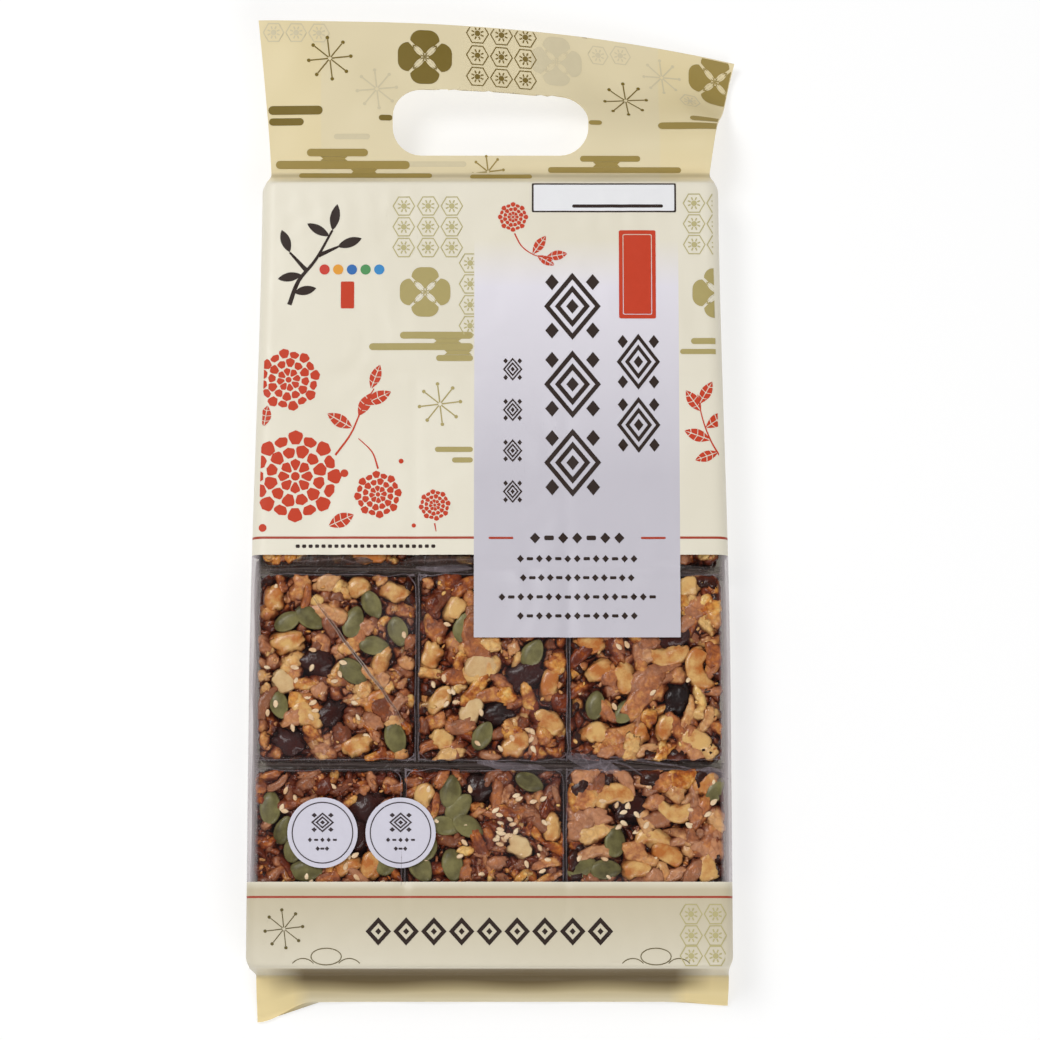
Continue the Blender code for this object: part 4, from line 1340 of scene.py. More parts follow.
@dataclass
class InkLayer:
    """All the print of one ink: motifs laid on the film as a thin mesh that follows it."""

    name: str
    material: bpy.types.Material
    form: FilmForm
    lift: float = INK_LIFT
    spacing: float = 0.0013
    points: list[np.ndarray] = field(default_factory=list)
    faces: list[tuple[int, ...]] = field(default_factory=list)
    count: int = 0

    def _limits(self, v: float) -> tuple[float, float]:
        """How far the flat print may reach to the left and to the right at v, in metres."""
        left, right = self.form.halves(np.array([v]))
        inset = 0.0002 if v > SIZE.header_root else 0.0022
        return float(left[0]) - inset, float(right[0]) - inset

    def add(self, loops: list[Loop], on_back: bool = False) -> None:
        """Adds one motif, given as loops in millimetres.

        Args:
            loops: Closed loops; what an even number of loops shuts in stays bare.
            on_back: Whether it is on the back of the pack.
        """
        metres = [[(x * MM, y * MM) for x, y in loop] for loop in loops if len(loop) > 2]
        low, high = (pick(y for loop in metres for _, y in loop) for pick in (min, max))
        cuts = []
        for side, first, second in zip((-1.0, 1.0), self._limits(low), self._limits(high)):
            lean = (second - first) / (high - low)
            cuts.append(((side, -lean), first - lean * low))
        cuts.append(((0.0, 1.0), SIZE.header_top - 0.0003))
        for normal, reach in cuts:
            metres = [clip(loop, normal, reach) for loop in metres if len(loop) > 2]
        metres = [self._resample(loop) for loop in metres if len(loop) > 2]
        if not metres:
            return
        flat, triangles = self._fill(metres)
        if not triangles:
            return
        lay = self.form.back if on_back else self.form.front
        self.points.append(lay(flat[:, 0], flat[:, 1], self.lift))
        for a, b, c in triangles:
            turned_out = (a, c, b) if on_back else (a, b, c)
            self.faces.append(tuple(self.count + i for i in turned_out))
        self.count += len(flat)

    def _resample(self, loop: Loop) -> Loop:
        """Adds points to a loop's long edges, and drops points that lie on each other."""
        made: Loop = []
        for (ax, ay), (bx, by) in zip(loop, loop[1:] + loop[:1]):
            length = math.hypot(bx - ax, by - ay)
            if length < 1e-6:
                continue
            count = max(1, math.ceil(length / self.spacing))
            made += [(ax + (bx - ax) * i / count, ay + (by - ay) * i / count) for i in range(count)]
        return made

    def _fill(self, loops: list[Loop]) -> tuple[np.ndarray, list[tuple[int, int, int]]]:
        """Triangles that fill the loops by the even-odd rule, with inner points that follow the film."""
        vertices: list[tuple[float, float]] = []
        edges: list[tuple[int, int]] = []
        for loop in loops:
            start = len(vertices)
            vertices += loop
            edges += [(start + i, start + (i + 1) % len(loop)) for i in range(len(loop))]
        every = np.array(vertices)
        low, high = every.min(axis=0), every.max(axis=0)
        if min(high - low) > 2 * self.spacing:
            xs = np.arange(low[0] + self.spacing, high[0], self.spacing)
            ys = np.arange(low[1] + self.spacing, high[1], self.spacing)
            grid = np.stack(np.meshgrid(xs, ys), axis=-1).reshape(-1, 2)
            apart = np.min(np.linalg.norm(grid[:, None] - every[None], axis=2), axis=1) > 0.4 * self.spacing
            inner = grid[apart]
            vertices += [tuple(p) for p in inner[self._inside(inner, loops)]]
        made, _, faces, *_ = delaunay_2d_cdt([Vector(p) for p in vertices], edges, [], 0, 1e-7)
        flat = np.array([tuple(p) for p in made])
        corners = np.array([tuple(face) for face in faces])
        middles = flat[corners].mean(axis=1)
        kept = corners[self._inside(middles, loops)]
        a, b, c = (flat[kept[:, i]] for i in range(3))
        area = (b[:, 0] - a[:, 0]) * (c[:, 1] - a[:, 1]) - (b[:, 1] - a[:, 1]) * (c[:, 0] - a[:, 0])
        real = np.abs(area) > 1e-12
        kept, area = kept[real], area[real]
        kept = np.where(area[:, None] < 0, kept[:, ::-1], kept)
        used, renumbered = np.unique(kept, return_inverse=True)
        return flat[used], [tuple(int(i) for i in face) for face in renumbered.reshape(-1, 3)]

    @staticmethod
    def _inside(places: np.ndarray, loops: list[Loop]) -> np.ndarray:
        """Which places an odd number of loops shuts in."""
        odd = np.zeros(len(places), dtype=bool)
        for loop in loops:
            corner = np.array(loop)
            following = np.roll(corner, -1, axis=0)
            for (ax, ay), (bx, by) in zip(corner, following):
                crosses = (places[:, 1] < ay) != (places[:, 1] < by)
                if ay != by:
                    where = ax + (places[:, 1] - ay) / (by - ay) * (bx - ax)
                    odd ^= crosses & (places[:, 0] < where)
        return odd

    def build(self) -> bpy.types.Object:
        """Makes the piece."""
        piece = mesh_object(self.name, np.concatenate(self.points), self.faces)
        piece.data.materials.append(self.material)
        declare(piece, "printed_film")
        return piece


@dataclass
class Artwork:
    """The pack's print: gold traditional motifs, red flowers, dark ornaments and pale fields."""

    form: FilmForm
    groups: Groups

    def _layer(self, name: str, colour: Colour, lift: float = INK_LIFT) -> InkLayer:
        """A layer of one ink."""
        return InkLayer(name, Ink(name, colour, 0.5, 0.25).build(self.groups), self.form, lift)

    def build(self) -> None:
        """Makes every layer."""
        self._header_gold()
        self._ghosts()
        self._body_gold()
        self._olive()
        self._red()
        self._dark()
        self._pale()

    @staticmethod
    def _cells(ink: InkLayer, across: tuple[float, ...], up: tuple[float, ...], wide: float = 7.5) -> None:
        """Tortoiseshell cells in columns and rows."""
        for x in across:
            for y in up:
                ink.add(tortoise_cell(x, y, wide))

    def _header_gold(self) -> None:
        """Dark gold motifs on the header, whose v starts at the header's root."""
        root = SIZE.header_root / MM
        ink = self._layer("print_gold_header", srgb(122, 103, 42))
        ink.add(burst(-53.4, root + 38.6, 15.0))
        ink.add(burst(45.2, root + 29.6, 15.0))
        ink.add(four_petals(-21.9, root + 39.8, 18.0))
        for bar in ((-73.8, -55.7, 21.2, 2.9), (-73.6, -62.0, 17.4, 2.4), (-37.1, -32.6, 18.8, 1.9)):
            ink.add(mist([bar], base=root))
        ink.build()
        ink = self._layer("print_gold_mist", srgb(158, 137, 74))
        ink.add(four_petals(75.7, root + 43.4, 18.0))
        for bar in ((32.7, 37.1, 18.2, 1.9), (66.5, 78.0, 21.3, 2.8), (55.7, 78.0, 17.2, 3.0)):
            ink.add(mist([bar], base=root))
        bars = [(-61.0, -40.7, 7.2, 2.5), (-71.3, -26.8, 3.1, 2.7)]
        ink.add(mist(bars, [(-52.0, 4.5, 5.9), (-42.0, 0.1, 1.8)], root))
        ink.add(mist([(29.7, 49.7, 5.2, 1.9), (19.1, 63.3, 1.5, 1.9)], [(38.5, 2.5, 4.2)], root))
        ink.add(mist([(-63.6, -19.4, -0.6, 1.9), (-6.8, 13.8, -1.0, 1.7)], base=root))
        ink.add([clip(loop, (0.0, -1.0), -root - 0.6) for loop in burst(-0.8, root + 0.9, 11.0)])
        ink.build()
        ink = self._layer("print_gold_cells", srgb(122, 102, 46))
        self._cells(ink, (-4.4, 3.6, 11.6), (root + 34.0, root + 41.4, root + 48.8), 7.7)
        ink.build()

    def _ghosts(self) -> None:
        """Faint print of the header's back, seen through its film."""
        root = SIZE.header_root / MM
        ink = self._layer("print_ghost", srgb(213, 201, 168), 0.00007)
        ink.add(burst(-37.8, root + 28.6, 14.0, 0.5))
        ink.add(four_petals(22.0, root + 41.4, 17.0))
        ink.add(burst(57.5, root + 41.0, 13.0, 0.5))
        self._cells(ink, (-72.0, -64.5, -57.0), (root + 47.0,), 7.2)
        for x, y in ((36.0, 45.5), (43.5, 46.5), (67.0, 33.0)):
            ink.add(tortoise_cell(x, root + y, 7.2))
        ink.add(mist([(-52.0, -40.0, 12.5, 1.8), (-30.0, -8.0, 3.4, 1.8)], base=root))
        ink.build()

    def _body_gold(self) -> None:
        """Paler gold motifs on the body, front and back."""
        ink = self._layer("print_gold_body", srgb(176, 161, 104))
        ink.add(four_petals(-21.4, 91.3, 16.6))
        ink.add(four_petals(74.8, 91.0, 16.6))
        ink.add(mist([(-29.6, -5.6, 76.8, 2.3), (-39.7, -5.6, 73.0, 2.3), (-17.7, -5.6, 69.2, 2.0)],
                     [(-14.0, 74.2, 75.6), (-10.5, 70.3, 71.8)]))
        ink.add(mist([(65.9, 78.0, 74.9, 2.0), (62.3, 78.0, 71.4, 1.7)]))
        ink.add(mist([(-18.0, -5.6, 38.9, 1.7), (-12.4, -5.6, 35.4, 1.7)]))
        ink.add(burst(-16.4, 53.9, 14.5))
        for row, y in enumerate((96.0, 52.0, 8.0, -36.0, -80.0)):
            for column in range(3):
                x = -50.0 + 44.0 * column + 14.0 * (row % 2)
                bars = [(x - 12, x + 12, y + 2, 2.2), (x - 18, x + 8, y - 2, 2.2)]
                motifs = (four_petals(x, y, 16.6), burst(x, y, 14.5), mist(bars, [(x, y - 0.9, y + 0.9)]))
                ink.add(motifs[(row + column) % 3], on_back=True)
        ink.build()
        ink = self._layer("print_gold_lines", srgb(190, 180, 130))
        self._cells(ink, (-28.5, -20.5, -12.7), (120.2, 113.2, 106.2))
        for y in (101.0, 94.0, 87.0, 80.0):
            ink.add([clip(loop, (1.0, 0.0), -5.3) for loop in tortoise_cell(-6.6, y, 7.5)])
        self._cells(ink, (67.2, 75.0), (121.2, 114.2, 107.2))
        self._cells(ink, (64.6, 72.4), (-111.9, -118.7, -125.2))
        ink.build()

    def _olive(self) -> None:
        """Thin dark lines in the bottom band: a burst and two pairs of pebbles."""
        ink = self._layer("print_olive", srgb(104, 92, 54))
        ink.add(burst(-65.8, -116.6, 13.0, 0.3))
        for x in (-52.2, 53.3):
            ink.add([oval(x, -125.4, 5.0, 0.56), oval(x, -125.4, 4.7, 0.53)])
            for side in (-1, 1):
                ink.add([stroke(arc_path(x + side * 7.4, -130.4, 4.4, 40, 140), 0.28)])
        ink.build()

    def _red(self) -> None:
        """Red garden flowers and leaves of a plain design, and the red tablet."""
        ink = self._layer("print_red", srgb(200, 62, 32))
        for x, y, radius, turn in ((-63.5, 30.0, 14.5, 0), (-66.0, 62.0, 10.0, 10), (-36.5, 24.0, 7.5, 5),
                                   (7.5, 116.5, 4.8, 0), (-18.0, 20.5, 5.0, 8)):
            ink.add(rosette(x, y, radius, turn))
        stems = (
            ([(-50.5, 37.0), (-45.5, 44.0), (-42.0, 52.0), (-38.0, 59.0)], 0.7),
            ([(-36.5, 32.5), (-38.5, 38.0), (-43.0, 42.5)], 0.6),
            ([(8.0, 111.0), (10.5, 106.5), (15.0, 103.5), (20.0, 103.0)], 0.5),
            ([(-18.0, 14.5), (-17.5, 11.8)], 0.5),
            ([(77.0, 34.0), (72.5, 41.0), (69.5, 49.0), (68.0, 57.0)], 0.6),
        )
        for path, width in stems:
            ink.add([stroke(smooth_line(path), width, 0.5)])
        leaves = ((-45.0, 46.0, 9.5, 4.2, 150), (-41.0, 54.0, 9.5, 4.2, 25), (-43.0, 50.0, 8.5, 3.8, 62),
                  (-39.0, 59.0, 8.5, 3.6, 70), (-52.5, 13.6, 9.0, 4.6, 25), (-74.0, 46.5, 7.0, 3.6, 80),
                  (14.0, 104.0, 7.5, 3.2, 55), (18.5, 103.0, 7.0, 3.2, 10), (15.5, 103.5, 6.5, 2.8, -30),
                  (72.0, 42.0, 9.0, 4.0, 160), (70.5, 46.0, 9.0, 4.0, 35), (69.0, 51.5, 8.5, 3.8, 125),
                  (68.5, 54.0, 8.5, 3.6, 60), (74.5, 38.0, 8.0, 3.4, 200))
        for x, y, length, width, turn in leaves:
            ink.add(leaf(x, y, length, width, turn))
        for x, y, radius in ((-47.5, 31.0, 1.3), (-74.0, 13.0, 1.3), (-29.0, 35.0, 0.8), (-24.8, 13.8, 0.7)):
            ink.add([oval(x, y, radius, 1.0, 14)])
        tablet = ((12.1, 29.6, 0.5), (9.6, 27.0, 0.5), (9.1, 26.5, 0.4))
        ink.add([rounded_box(48.4, 97.2, wide, tall, radius, 3) for wide, tall, radius in tablet])
        ink.add([rounded_box(-46.9, 90.3, 4.4, 9.0, 0.4, 3)])
        ink.build()

    def _dark(self) -> None:
        """Dark ornaments: nested diamonds, lines of beads, a chain, a frame and a twig."""
        ink = self._layer("print_dark", srgb(46, 31, 24))
        for y in (86.5, 60.5, 34.5):
            ink.add(lozenge(27.0, y, 18.6, 22.5))
        for y in (68.0, 47.0):
            ink.add(lozenge(48.6, y, 14.2, 18.6))
        for y in (65.5, 52.0, 38.5, 25.0):
            ink.add(lozenge(7.4, y, 6.4, 7.6))
        self._beads(ink, 28.4, 9.7, 32.0, 3.6)
        for y, wide in ((2.9, 40.0), (-3.3, 38.0), (-9.6, 52.0), (-15.8, 40.0)):
            self._beads(ink, 28.4, y, wide, 2.4)
        self._chain(ink, 0.0, -117.4, 80.0, 9.0)
        for i in range(22):
            ink.add([rounded_box(-62.5 + 2.1 * i, 7.0, 1.3, 1.1, 0.3, 3)])
        ink.add([rounded_box(37.5, 123.0, 47.6, 9.8, 0.4, 3), rounded_box(37.5, 123.0, 46.4, 8.8, 0.3, 3)])
        ink.add([rounded_box(42.0, 120.2, 30.0, 1.1, 0.5, 3)])
        self._twig(ink)
        ink.build()
        ink = self._layer("print_red_rule", srgb(176, 62, 38))
        for left, right in ((-0.4, 7.6), (49.2, 57.2)):
            ink.add([rounded_box((left + right) / 2, 9.7, right - left, 0.7, 0.2, 3)])
        ink.build()

    @staticmethod
    def _beads(ink: InkLayer, x: float, y: float, wide: float, size: float) -> None:
        """A centred line of alternating diamonds and short bars."""
        pitch = size * 1.25
        count = max(3, round(wide / pitch))
        for i in range(count):
            at = x + (i - (count - 1) / 2) * wide / count
            if i % 3 == 1:
                ink.add([rounded_box(at, y, size * 0.86, size * 0.42, size * 0.12, 3)])
            else:
                ink.add([diamond(at, y, size * 0.46, size * 0.5)])

    @staticmethod
    def _chain(ink: InkLayer, x: float, y: float, wide: float, tall: float) -> None:
        """A bold line of linked diamonds."""
        count = 9
        pitch = wide / count
        for i in range(count):
            at = x + (i - (count - 1) / 2) * pitch
            sizes = ((pitch * 0.46, tall / 2), (pitch * 0.27, tall * 0.29), (pitch * 0.11, tall * 0.12))
            ink.add([diamond(at, y, *size) for size in sizes])

    def _twig(self, ink: InkLayer) -> None:
        """A brushed twig with leaves, in the upper left corner."""
        stem = smooth_line([(-66.0, 87.0), (-63.0, 95.0), (-57.5, 102.0), (-52.0, 112.0)])
        for path in (stem, [(-60.5, 98.5), (-66.0, 104.5)], [(-56.5, 103.5), (-50.0, 106.5)]):
            ink.add([stroke(path, 1.5, 0.55)])
        leaves = ((-52.0, 112.0, 9.0, 3.2, 80), (-53.0, 110.0, 8.5, 3.0, 150), (-50.3, 106.4, 8.5, 3.2, 20),
                  (-66.0, 104.6, 8.0, 3.2, 110), (-62.0, 97.0, 8.0, 3.0, 190), (-64.5, 91.0, 7.5, 3.0, 12))
        for x, y, length, width, turn in leaves:
            cos, sin = math.cos(math.radians(turn)), math.sin(math.radians(turn))
            ink.add([lens(x + length / 2 * cos, y + length / 2 * sin, length, width, turn)])

    def _pale(self) -> None:
        """Pale fields: the badges on the window, and the white panel at the top fold."""
        ink = self._layer("print_badges", srgb(213, 210, 222), 0.00012)
        for x in (-53.7, -28.6):
            ink.add([oval(x, -85.9, 11.3, 1.0, 56)])
        ink.build()
        ink = self._layer("print_panel", srgb(238, 238, 240), 0.00007)
        ink.add([rounded_box(37.5, 123.0, 46.8, 9.2, 0.4, 3)])
        ink.build()
        ink = self._layer("print_badge_ink", srgb(58, 48, 52), 0.00020)
        for x in (-53.7, -28.6):
            ink.add([oval(x, -85.9, 9.9, 1.0, 48), oval(x, -85.9, 9.55, 1.0, 48)])
            ink.add(lozenge(x, -82.6, 7.4, 6.4))
            for y, wide in ((-88.2, 10.0), (-91.0, 4.5)):
                self._beads(ink, x, y, wide, 1.5)
        ink.build()
        dots = (
            ("red", srgb(206, 66, 52)),
            ("amber", srgb(232, 160, 58)),
            ("blue", srgb(52, 110, 178)),
            ("green", srgb(84, 150, 92)),
            ("sky", srgb(60, 140, 200)),
        )
        for k, (name, colour) in enumerate(dots):
            ink = self._layer("print_dot_" + name, colour)
            ink.add([oval(-54.5 + 4.5 * k, 98.8, 1.7, 1.0, 20)])
            ink.build()


# Food


class Topping(Enum):
    """Kinds of topping, each with its length, width and depth in metres."""

    SEED = (0.0104, 0.0068, 0.0028)
    RAISIN = (0.0122, 0.0104, 0.0074)
    NUT = (0.0098, 0.0068, 0.0058)
    PALE = (0.0088, 0.0076, 0.0056)
    CURL = (0.0150, 0.0062, 0.0058)
    SESAME = (0.0027, 0.0017, 0.0011)


@dataclass(frozen=True)
class Recipe:
    """How one block looks: pitch and size of its dough, share and length of its strips, and its tone."""

    pitch: float = 0.0043
    big: float = 1.0
    strips: float = 0.35
    tone: float = 0.42
    blush: float = 0.25
    sesame: int = 26
    crumbs: int = 120
    long: float = 1.0


RECIPES: dict[tuple[int, int], Recipe] = {
    (2, 1): Recipe(tone=0.62, blush=0.1, sesame=6, crumbs=40),
    (2, 2): Recipe(tone=0.66, blush=0.1, sesame=4, crumbs=40),
    (2, 3): Recipe(tone=0.60, blush=0.1, sesame=8, crumbs=40),
    (3, 1): Recipe(0.0044, 1.06, 0.30, 0.45, 0.40, 26),
    (3, 2): Recipe(0.0047, 1.14, 0.40, 0.60, 0.22, 28, long=1.2),
    (3, 3): Recipe(0.0053, 1.28, 0.62, 0.50, 0.30, 16, long=1.3),
    (4, 1): Recipe(0.0036, 0.86, 0.80, 0.82, 0.16, 40, long=1.2),
    (4, 2): Recipe(0.0036, 0.86, 0.75, 0.82, 0.20, 60, long=1.2),
    (4, 3): Recipe(0.0055, 1.34, 0.55, 0.50, 0.62, 40, long=1.2),
}

SEED, RAISIN, NUT, PALE, CURL, SESAME = Topping

# Radius in metres of a block's upright edges, and of the corner that no lump is put in
ROUND_CORNER = 0.0040
BARE_CORNER = 0.0048
MANY_SEEDS = 1 << 30

# Least and most length, width and depth in metres of a bent strip and of a puff
STRIP_SIZE = ((0.0066, 0.0092), (0.0030, 0.0040), (0.0034, 0.0046))
PUFF_SIZE = ((0.0046, 0.0062), (0.0040, 0.0052), (0.0034, 0.0046))

# Depth in metres, pitch and fineness of each pass of lumps over a block's front
PASSES = ((0.0024, 1.10, False), (0.0016, 1.12, True))

# Kind, share of the block's width and length, and turn in degrees of each topping
PLACES: dict[tuple[int, int], list[tuple[Topping, float, float, float]]] = {
    (3, 1): [
        (SEED, 0.715, 0.835, -62), (SEED, 0.88, 0.69, -75), (SEED, 0.6, 0.745, 72), (SEED, 0.73, 0.615, -4),
        (SEED, 0.33, 0.765, -35), (SEED, 0.19, 0.745, 30), (SEED, 0.14, 0.3, -72), (SEED, 0.87, 0.12, -70),
        (SEED, 0.6, 0.475, -42), (PALE, 0.155, 0.425, -50), (RAISIN, 0.205, 0.105, -30),
        (RAISIN, 0.46, 0.255, 35), (RAISIN, 0.37, 0.53, -20), (NUT, 0.105, 0.87, 88),
        (NUT, 0.84, 0.905, -20), (NUT, 0.64, 0.93, 8), (NUT, 0.745, 0.315, 40), (NUT, 0.33, 0.235, -40),
        (NUT, 0.64, 0.085, 15), (NUT, 0.78, 0.54, 62), (NUT, 0.2, 0.635, 10),
    ],
    (3, 2): [
        (SEED, 0.3, 0.71, 75), (SEED, 0.43, 0.135, 62), (SEED, 0.76, 0.57, 60), (RAISIN, 0.53, 0.255, 8),
        (RAISIN, 0.715, 0.455, 20), (NUT, 0.24, 0.815, 60), (CURL, 0.42, 0.47, 200), (PALE, 0.425, 0.5, 0),
        (PALE, 0.35, 0.265, 60), (NUT, 0.86, 0.215, -35), (NUT, 0.88, 0.41, 75), (NUT, 0.15, 0.33, 55),
        (NUT, 0.64, 0.085, 30), (NUT, 0.16, 0.12, -40), (NUT, 0.09, 0.56, 70),
    ],
    (3, 3): [
        (CURL, 0.63, 0.56, 185), (NUT, 0.19, 0.48, 25), (NUT, 0.37, 0.43, -70), (SEED, 0.17, 0.3, 82),
        (SEED, 0.37, 0.27, 50), (CURL, 0.84, 0.5, 100), (NUT, 0.45, 0.13, 60), (NUT, 0.62, 0.18, 70),
        (NUT, 0.83, 0.11, -40), (NUT, 0.17, 0.15, 10), (NUT, 0.76, 0.915, 40), (NUT, 0.12, 0.64, -20),
        (RAISIN, 0.66, 0.66, 15), (RAISIN, 0.7, 0.33, 60),
    ],
    (4, 1): [
        (SEED, 0.11, 0.8, 88), (SEED, 0.2, 0.68, 70), (SEED, 0.35, 0.47, 0), (SEED, 0.27, 0.59, 80),
        (RAISIN, 0.78, 0.79, 25), (RAISIN, 0.68, 0.65, 60), (NUT, 0.64, 0.5, 10), (NUT, 0.79, 0.5, 80),
        (SEED, 0.9, 0.52, 60),
    ],
    (4, 2): [
        (SEED, 0.29, 0.88, 85), (SEED, 0.34, 0.8, 45), (SEED, 0.4, 0.7, -30), (SEED, 0.26, 0.7, -12),
        (SEED, 0.3, 0.5, -82), (SEED, 0.1, 0.49, -60), (SEED, 0.15, 0.6, 85), (SEED, 0.78, 0.93, -22),
        (RAISIN, 0.47, 0.9, 20), (NUT, 0.92, 0.69, 70), (PALE, 0.72, 0.59, -30), (NUT, 0.12, 0.85, 70),
    ],
    (4, 3): [
        (SEED, 0.31, 0.62, 88), (SEED, 0.95, 0.89, 50), (SEED, 0.1, 0.49, 20), (SEED, 0.25, 0.475, 0),
        (CURL, 0.3, 0.86, 10), (NUT, 0.88, 0.93, 40), (NUT, 0.89, 0.48, 85), (CURL, 0.69, 0.78, 170),
        (CURL, 0.56, 0.62, -20), (RAISIN, 0.4, 0.8, 5), (NUT, 0.64, 0.56, -20), (NUT, 0.45, 0.48, 0),
    ],
    (2, 1): [
        (NUT, 0.7, 0.06, 5), (SEED, 0.35, 0.4, 30), (RAISIN, 0.6, 0.7, 0),
    ],
    (2, 2): [
        (NUT, 0.3, 0.55, 40), (SEED, 0.65, 0.35, -40), (RAISIN, 0.45, 0.8, 20),
    ],
    (2, 3): [
        (NUT, 0.35, 0.7, -30), (SEED, 0.55, 0.3, 70), (RAISIN, 0.7, 0.6, 10),
    ],
}


def ball(rings: int, segments: int) -> tuple[np.ndarray, list[tuple[int, ...]]]:
    """Points and faces of a unit sphere whose poles lie on the x axis."""
    points = [(1.0, 0.0, 0.0)]
    for ring in range(1, rings):
        tilt = math.pi * ring / rings
        for i in range(segments):
            turn = math.tau * i / segments
            points.append((math.cos(tilt), math.sin(tilt) * math.cos(turn), math.sin(tilt) * math.sin(turn)))
    points.append((-1.0, 0.0, 0.0))
    faces: list[tuple[int, ...]] = []
    last = len(points) - 1
    for i in range(segments):
        after = (i + 1) % segments
        faces.append((0, 1 + i, 1 + after))
        base = 1 + (rings - 2) * segments
        faces.append((last, base + after, base + i))
        for ring in range(rings - 2):
            a, b = 1 + ring * segments + i, 1 + ring * segments + after
            faces.append((a, a + segments, b + segments, b))
    return np.array(points), faces


class Heap:
    """Many small lumps gathered into one mesh, each with its own tint."""

    def __init__(self) -> None:
        """Starts with nothing in it."""
        self.points: list[np.ndarray] = []
        self.faces: list[tuple[int, ...]] = []
        self.values: dict[str, list[np.ndarray]] = {"tint": [], "blush": [], "depth": []}
        self.count = 0

    def put(
        self,
        points: np.ndarray,
        faces: list,
        tint: np.ndarray | float,
        depth: np.ndarray | float = 0.0,
        blush: np.ndarray | float = 0.0,
    ) -> None:
        """Adds one lump.

        Args:
            points: Its places.
            faces: Its faces, counted from its own first point.
            tint: How toasted it is, from 0 to 1.
            depth: How deep it lies, as one number or one for each point; the material darkens by it, partly
                for syrup and partly as painted shade.
            blush: How pale and rosy its glaze is, from 0 to 1.
        """
        self.points.append(points)
        self.faces += [tuple(self.count + i for i in face) for face in faces]
        for name, value in (("tint", tint), ("depth", depth), ("blush", blush)):
            self.values[name].append(np.broadcast_to(value, len(points)).astype(float))
        self.count += len(points)

    def build(self, name: str, material: bpy.types.Material) -> bpy.types.Object:
        """Makes the object."""
        piece = mesh_object(name, np.concatenate(self.points), self.faces)
        for label, parts in self.values.items():
            set_values(piece.data, label, np.concatenate(parts))
        piece.data.materials.append(material)
        return piece


def turned(points: np.ndarray, turn: float, lean: float, roll: float) -> np.ndarray:
    """Points turned about their own long axis, leaned, then turned in the plane. Angles are in degrees."""
    spin = Matrix.Rotation(math.radians(turn), 3, "Z") @ Matrix.Rotation(math.radians(lean), 3, "Y")
    spin = spin @ Matrix.Rotation(math.radians(roll), 3, "X")
    return points @ np.array(spin).T


def blunt(points: np.ndarray) -> np.ndarray:
    """A ball with fuller ends along x."""
    return points * np.stack([np.ones(len(points)), *2 * [np.sqrt(1.0 + 0.8 * points[:, 0] ** 2)]], axis=1)


def curl(points: np.ndarray, length: float, sweep: float) -> np.ndarray:
    """Bends a shape that lies along x into an arc in the plane, keeping its length.

    Args:
        points: Places with x from -length / 2 to length / 2.
        length: Length of the shape.
        sweep: Angle of the whole arc, in radians.

    Returns:
        The places, about the middle of the arc's own box.
    """
    radius = length / sweep
    angle = points[:, 0] / radius
    out = radius + points[:, 1]
    bent = np.stack([out * np.sin(angle), out * np.cos(angle), points[:, 2]], axis=1)
    bent[:, 1] -= (bent[:, 1].max() + bent[:, 1].min()) / 2
    return bent


def grown_box(row: int, column: int) -> tuple[Vector, Vector]:
    """Corners of a block's box, a little wider than its node where it faces a neighbour in its row."""
    low, high = (Vector(corner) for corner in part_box(f"sachima_{row}_{column}"))
    reach = 0.00055
    low.x -= reach * (column > 1)
    high.x += reach * (column < 3)
    low.y += reach * (row == 3)
    return low, high


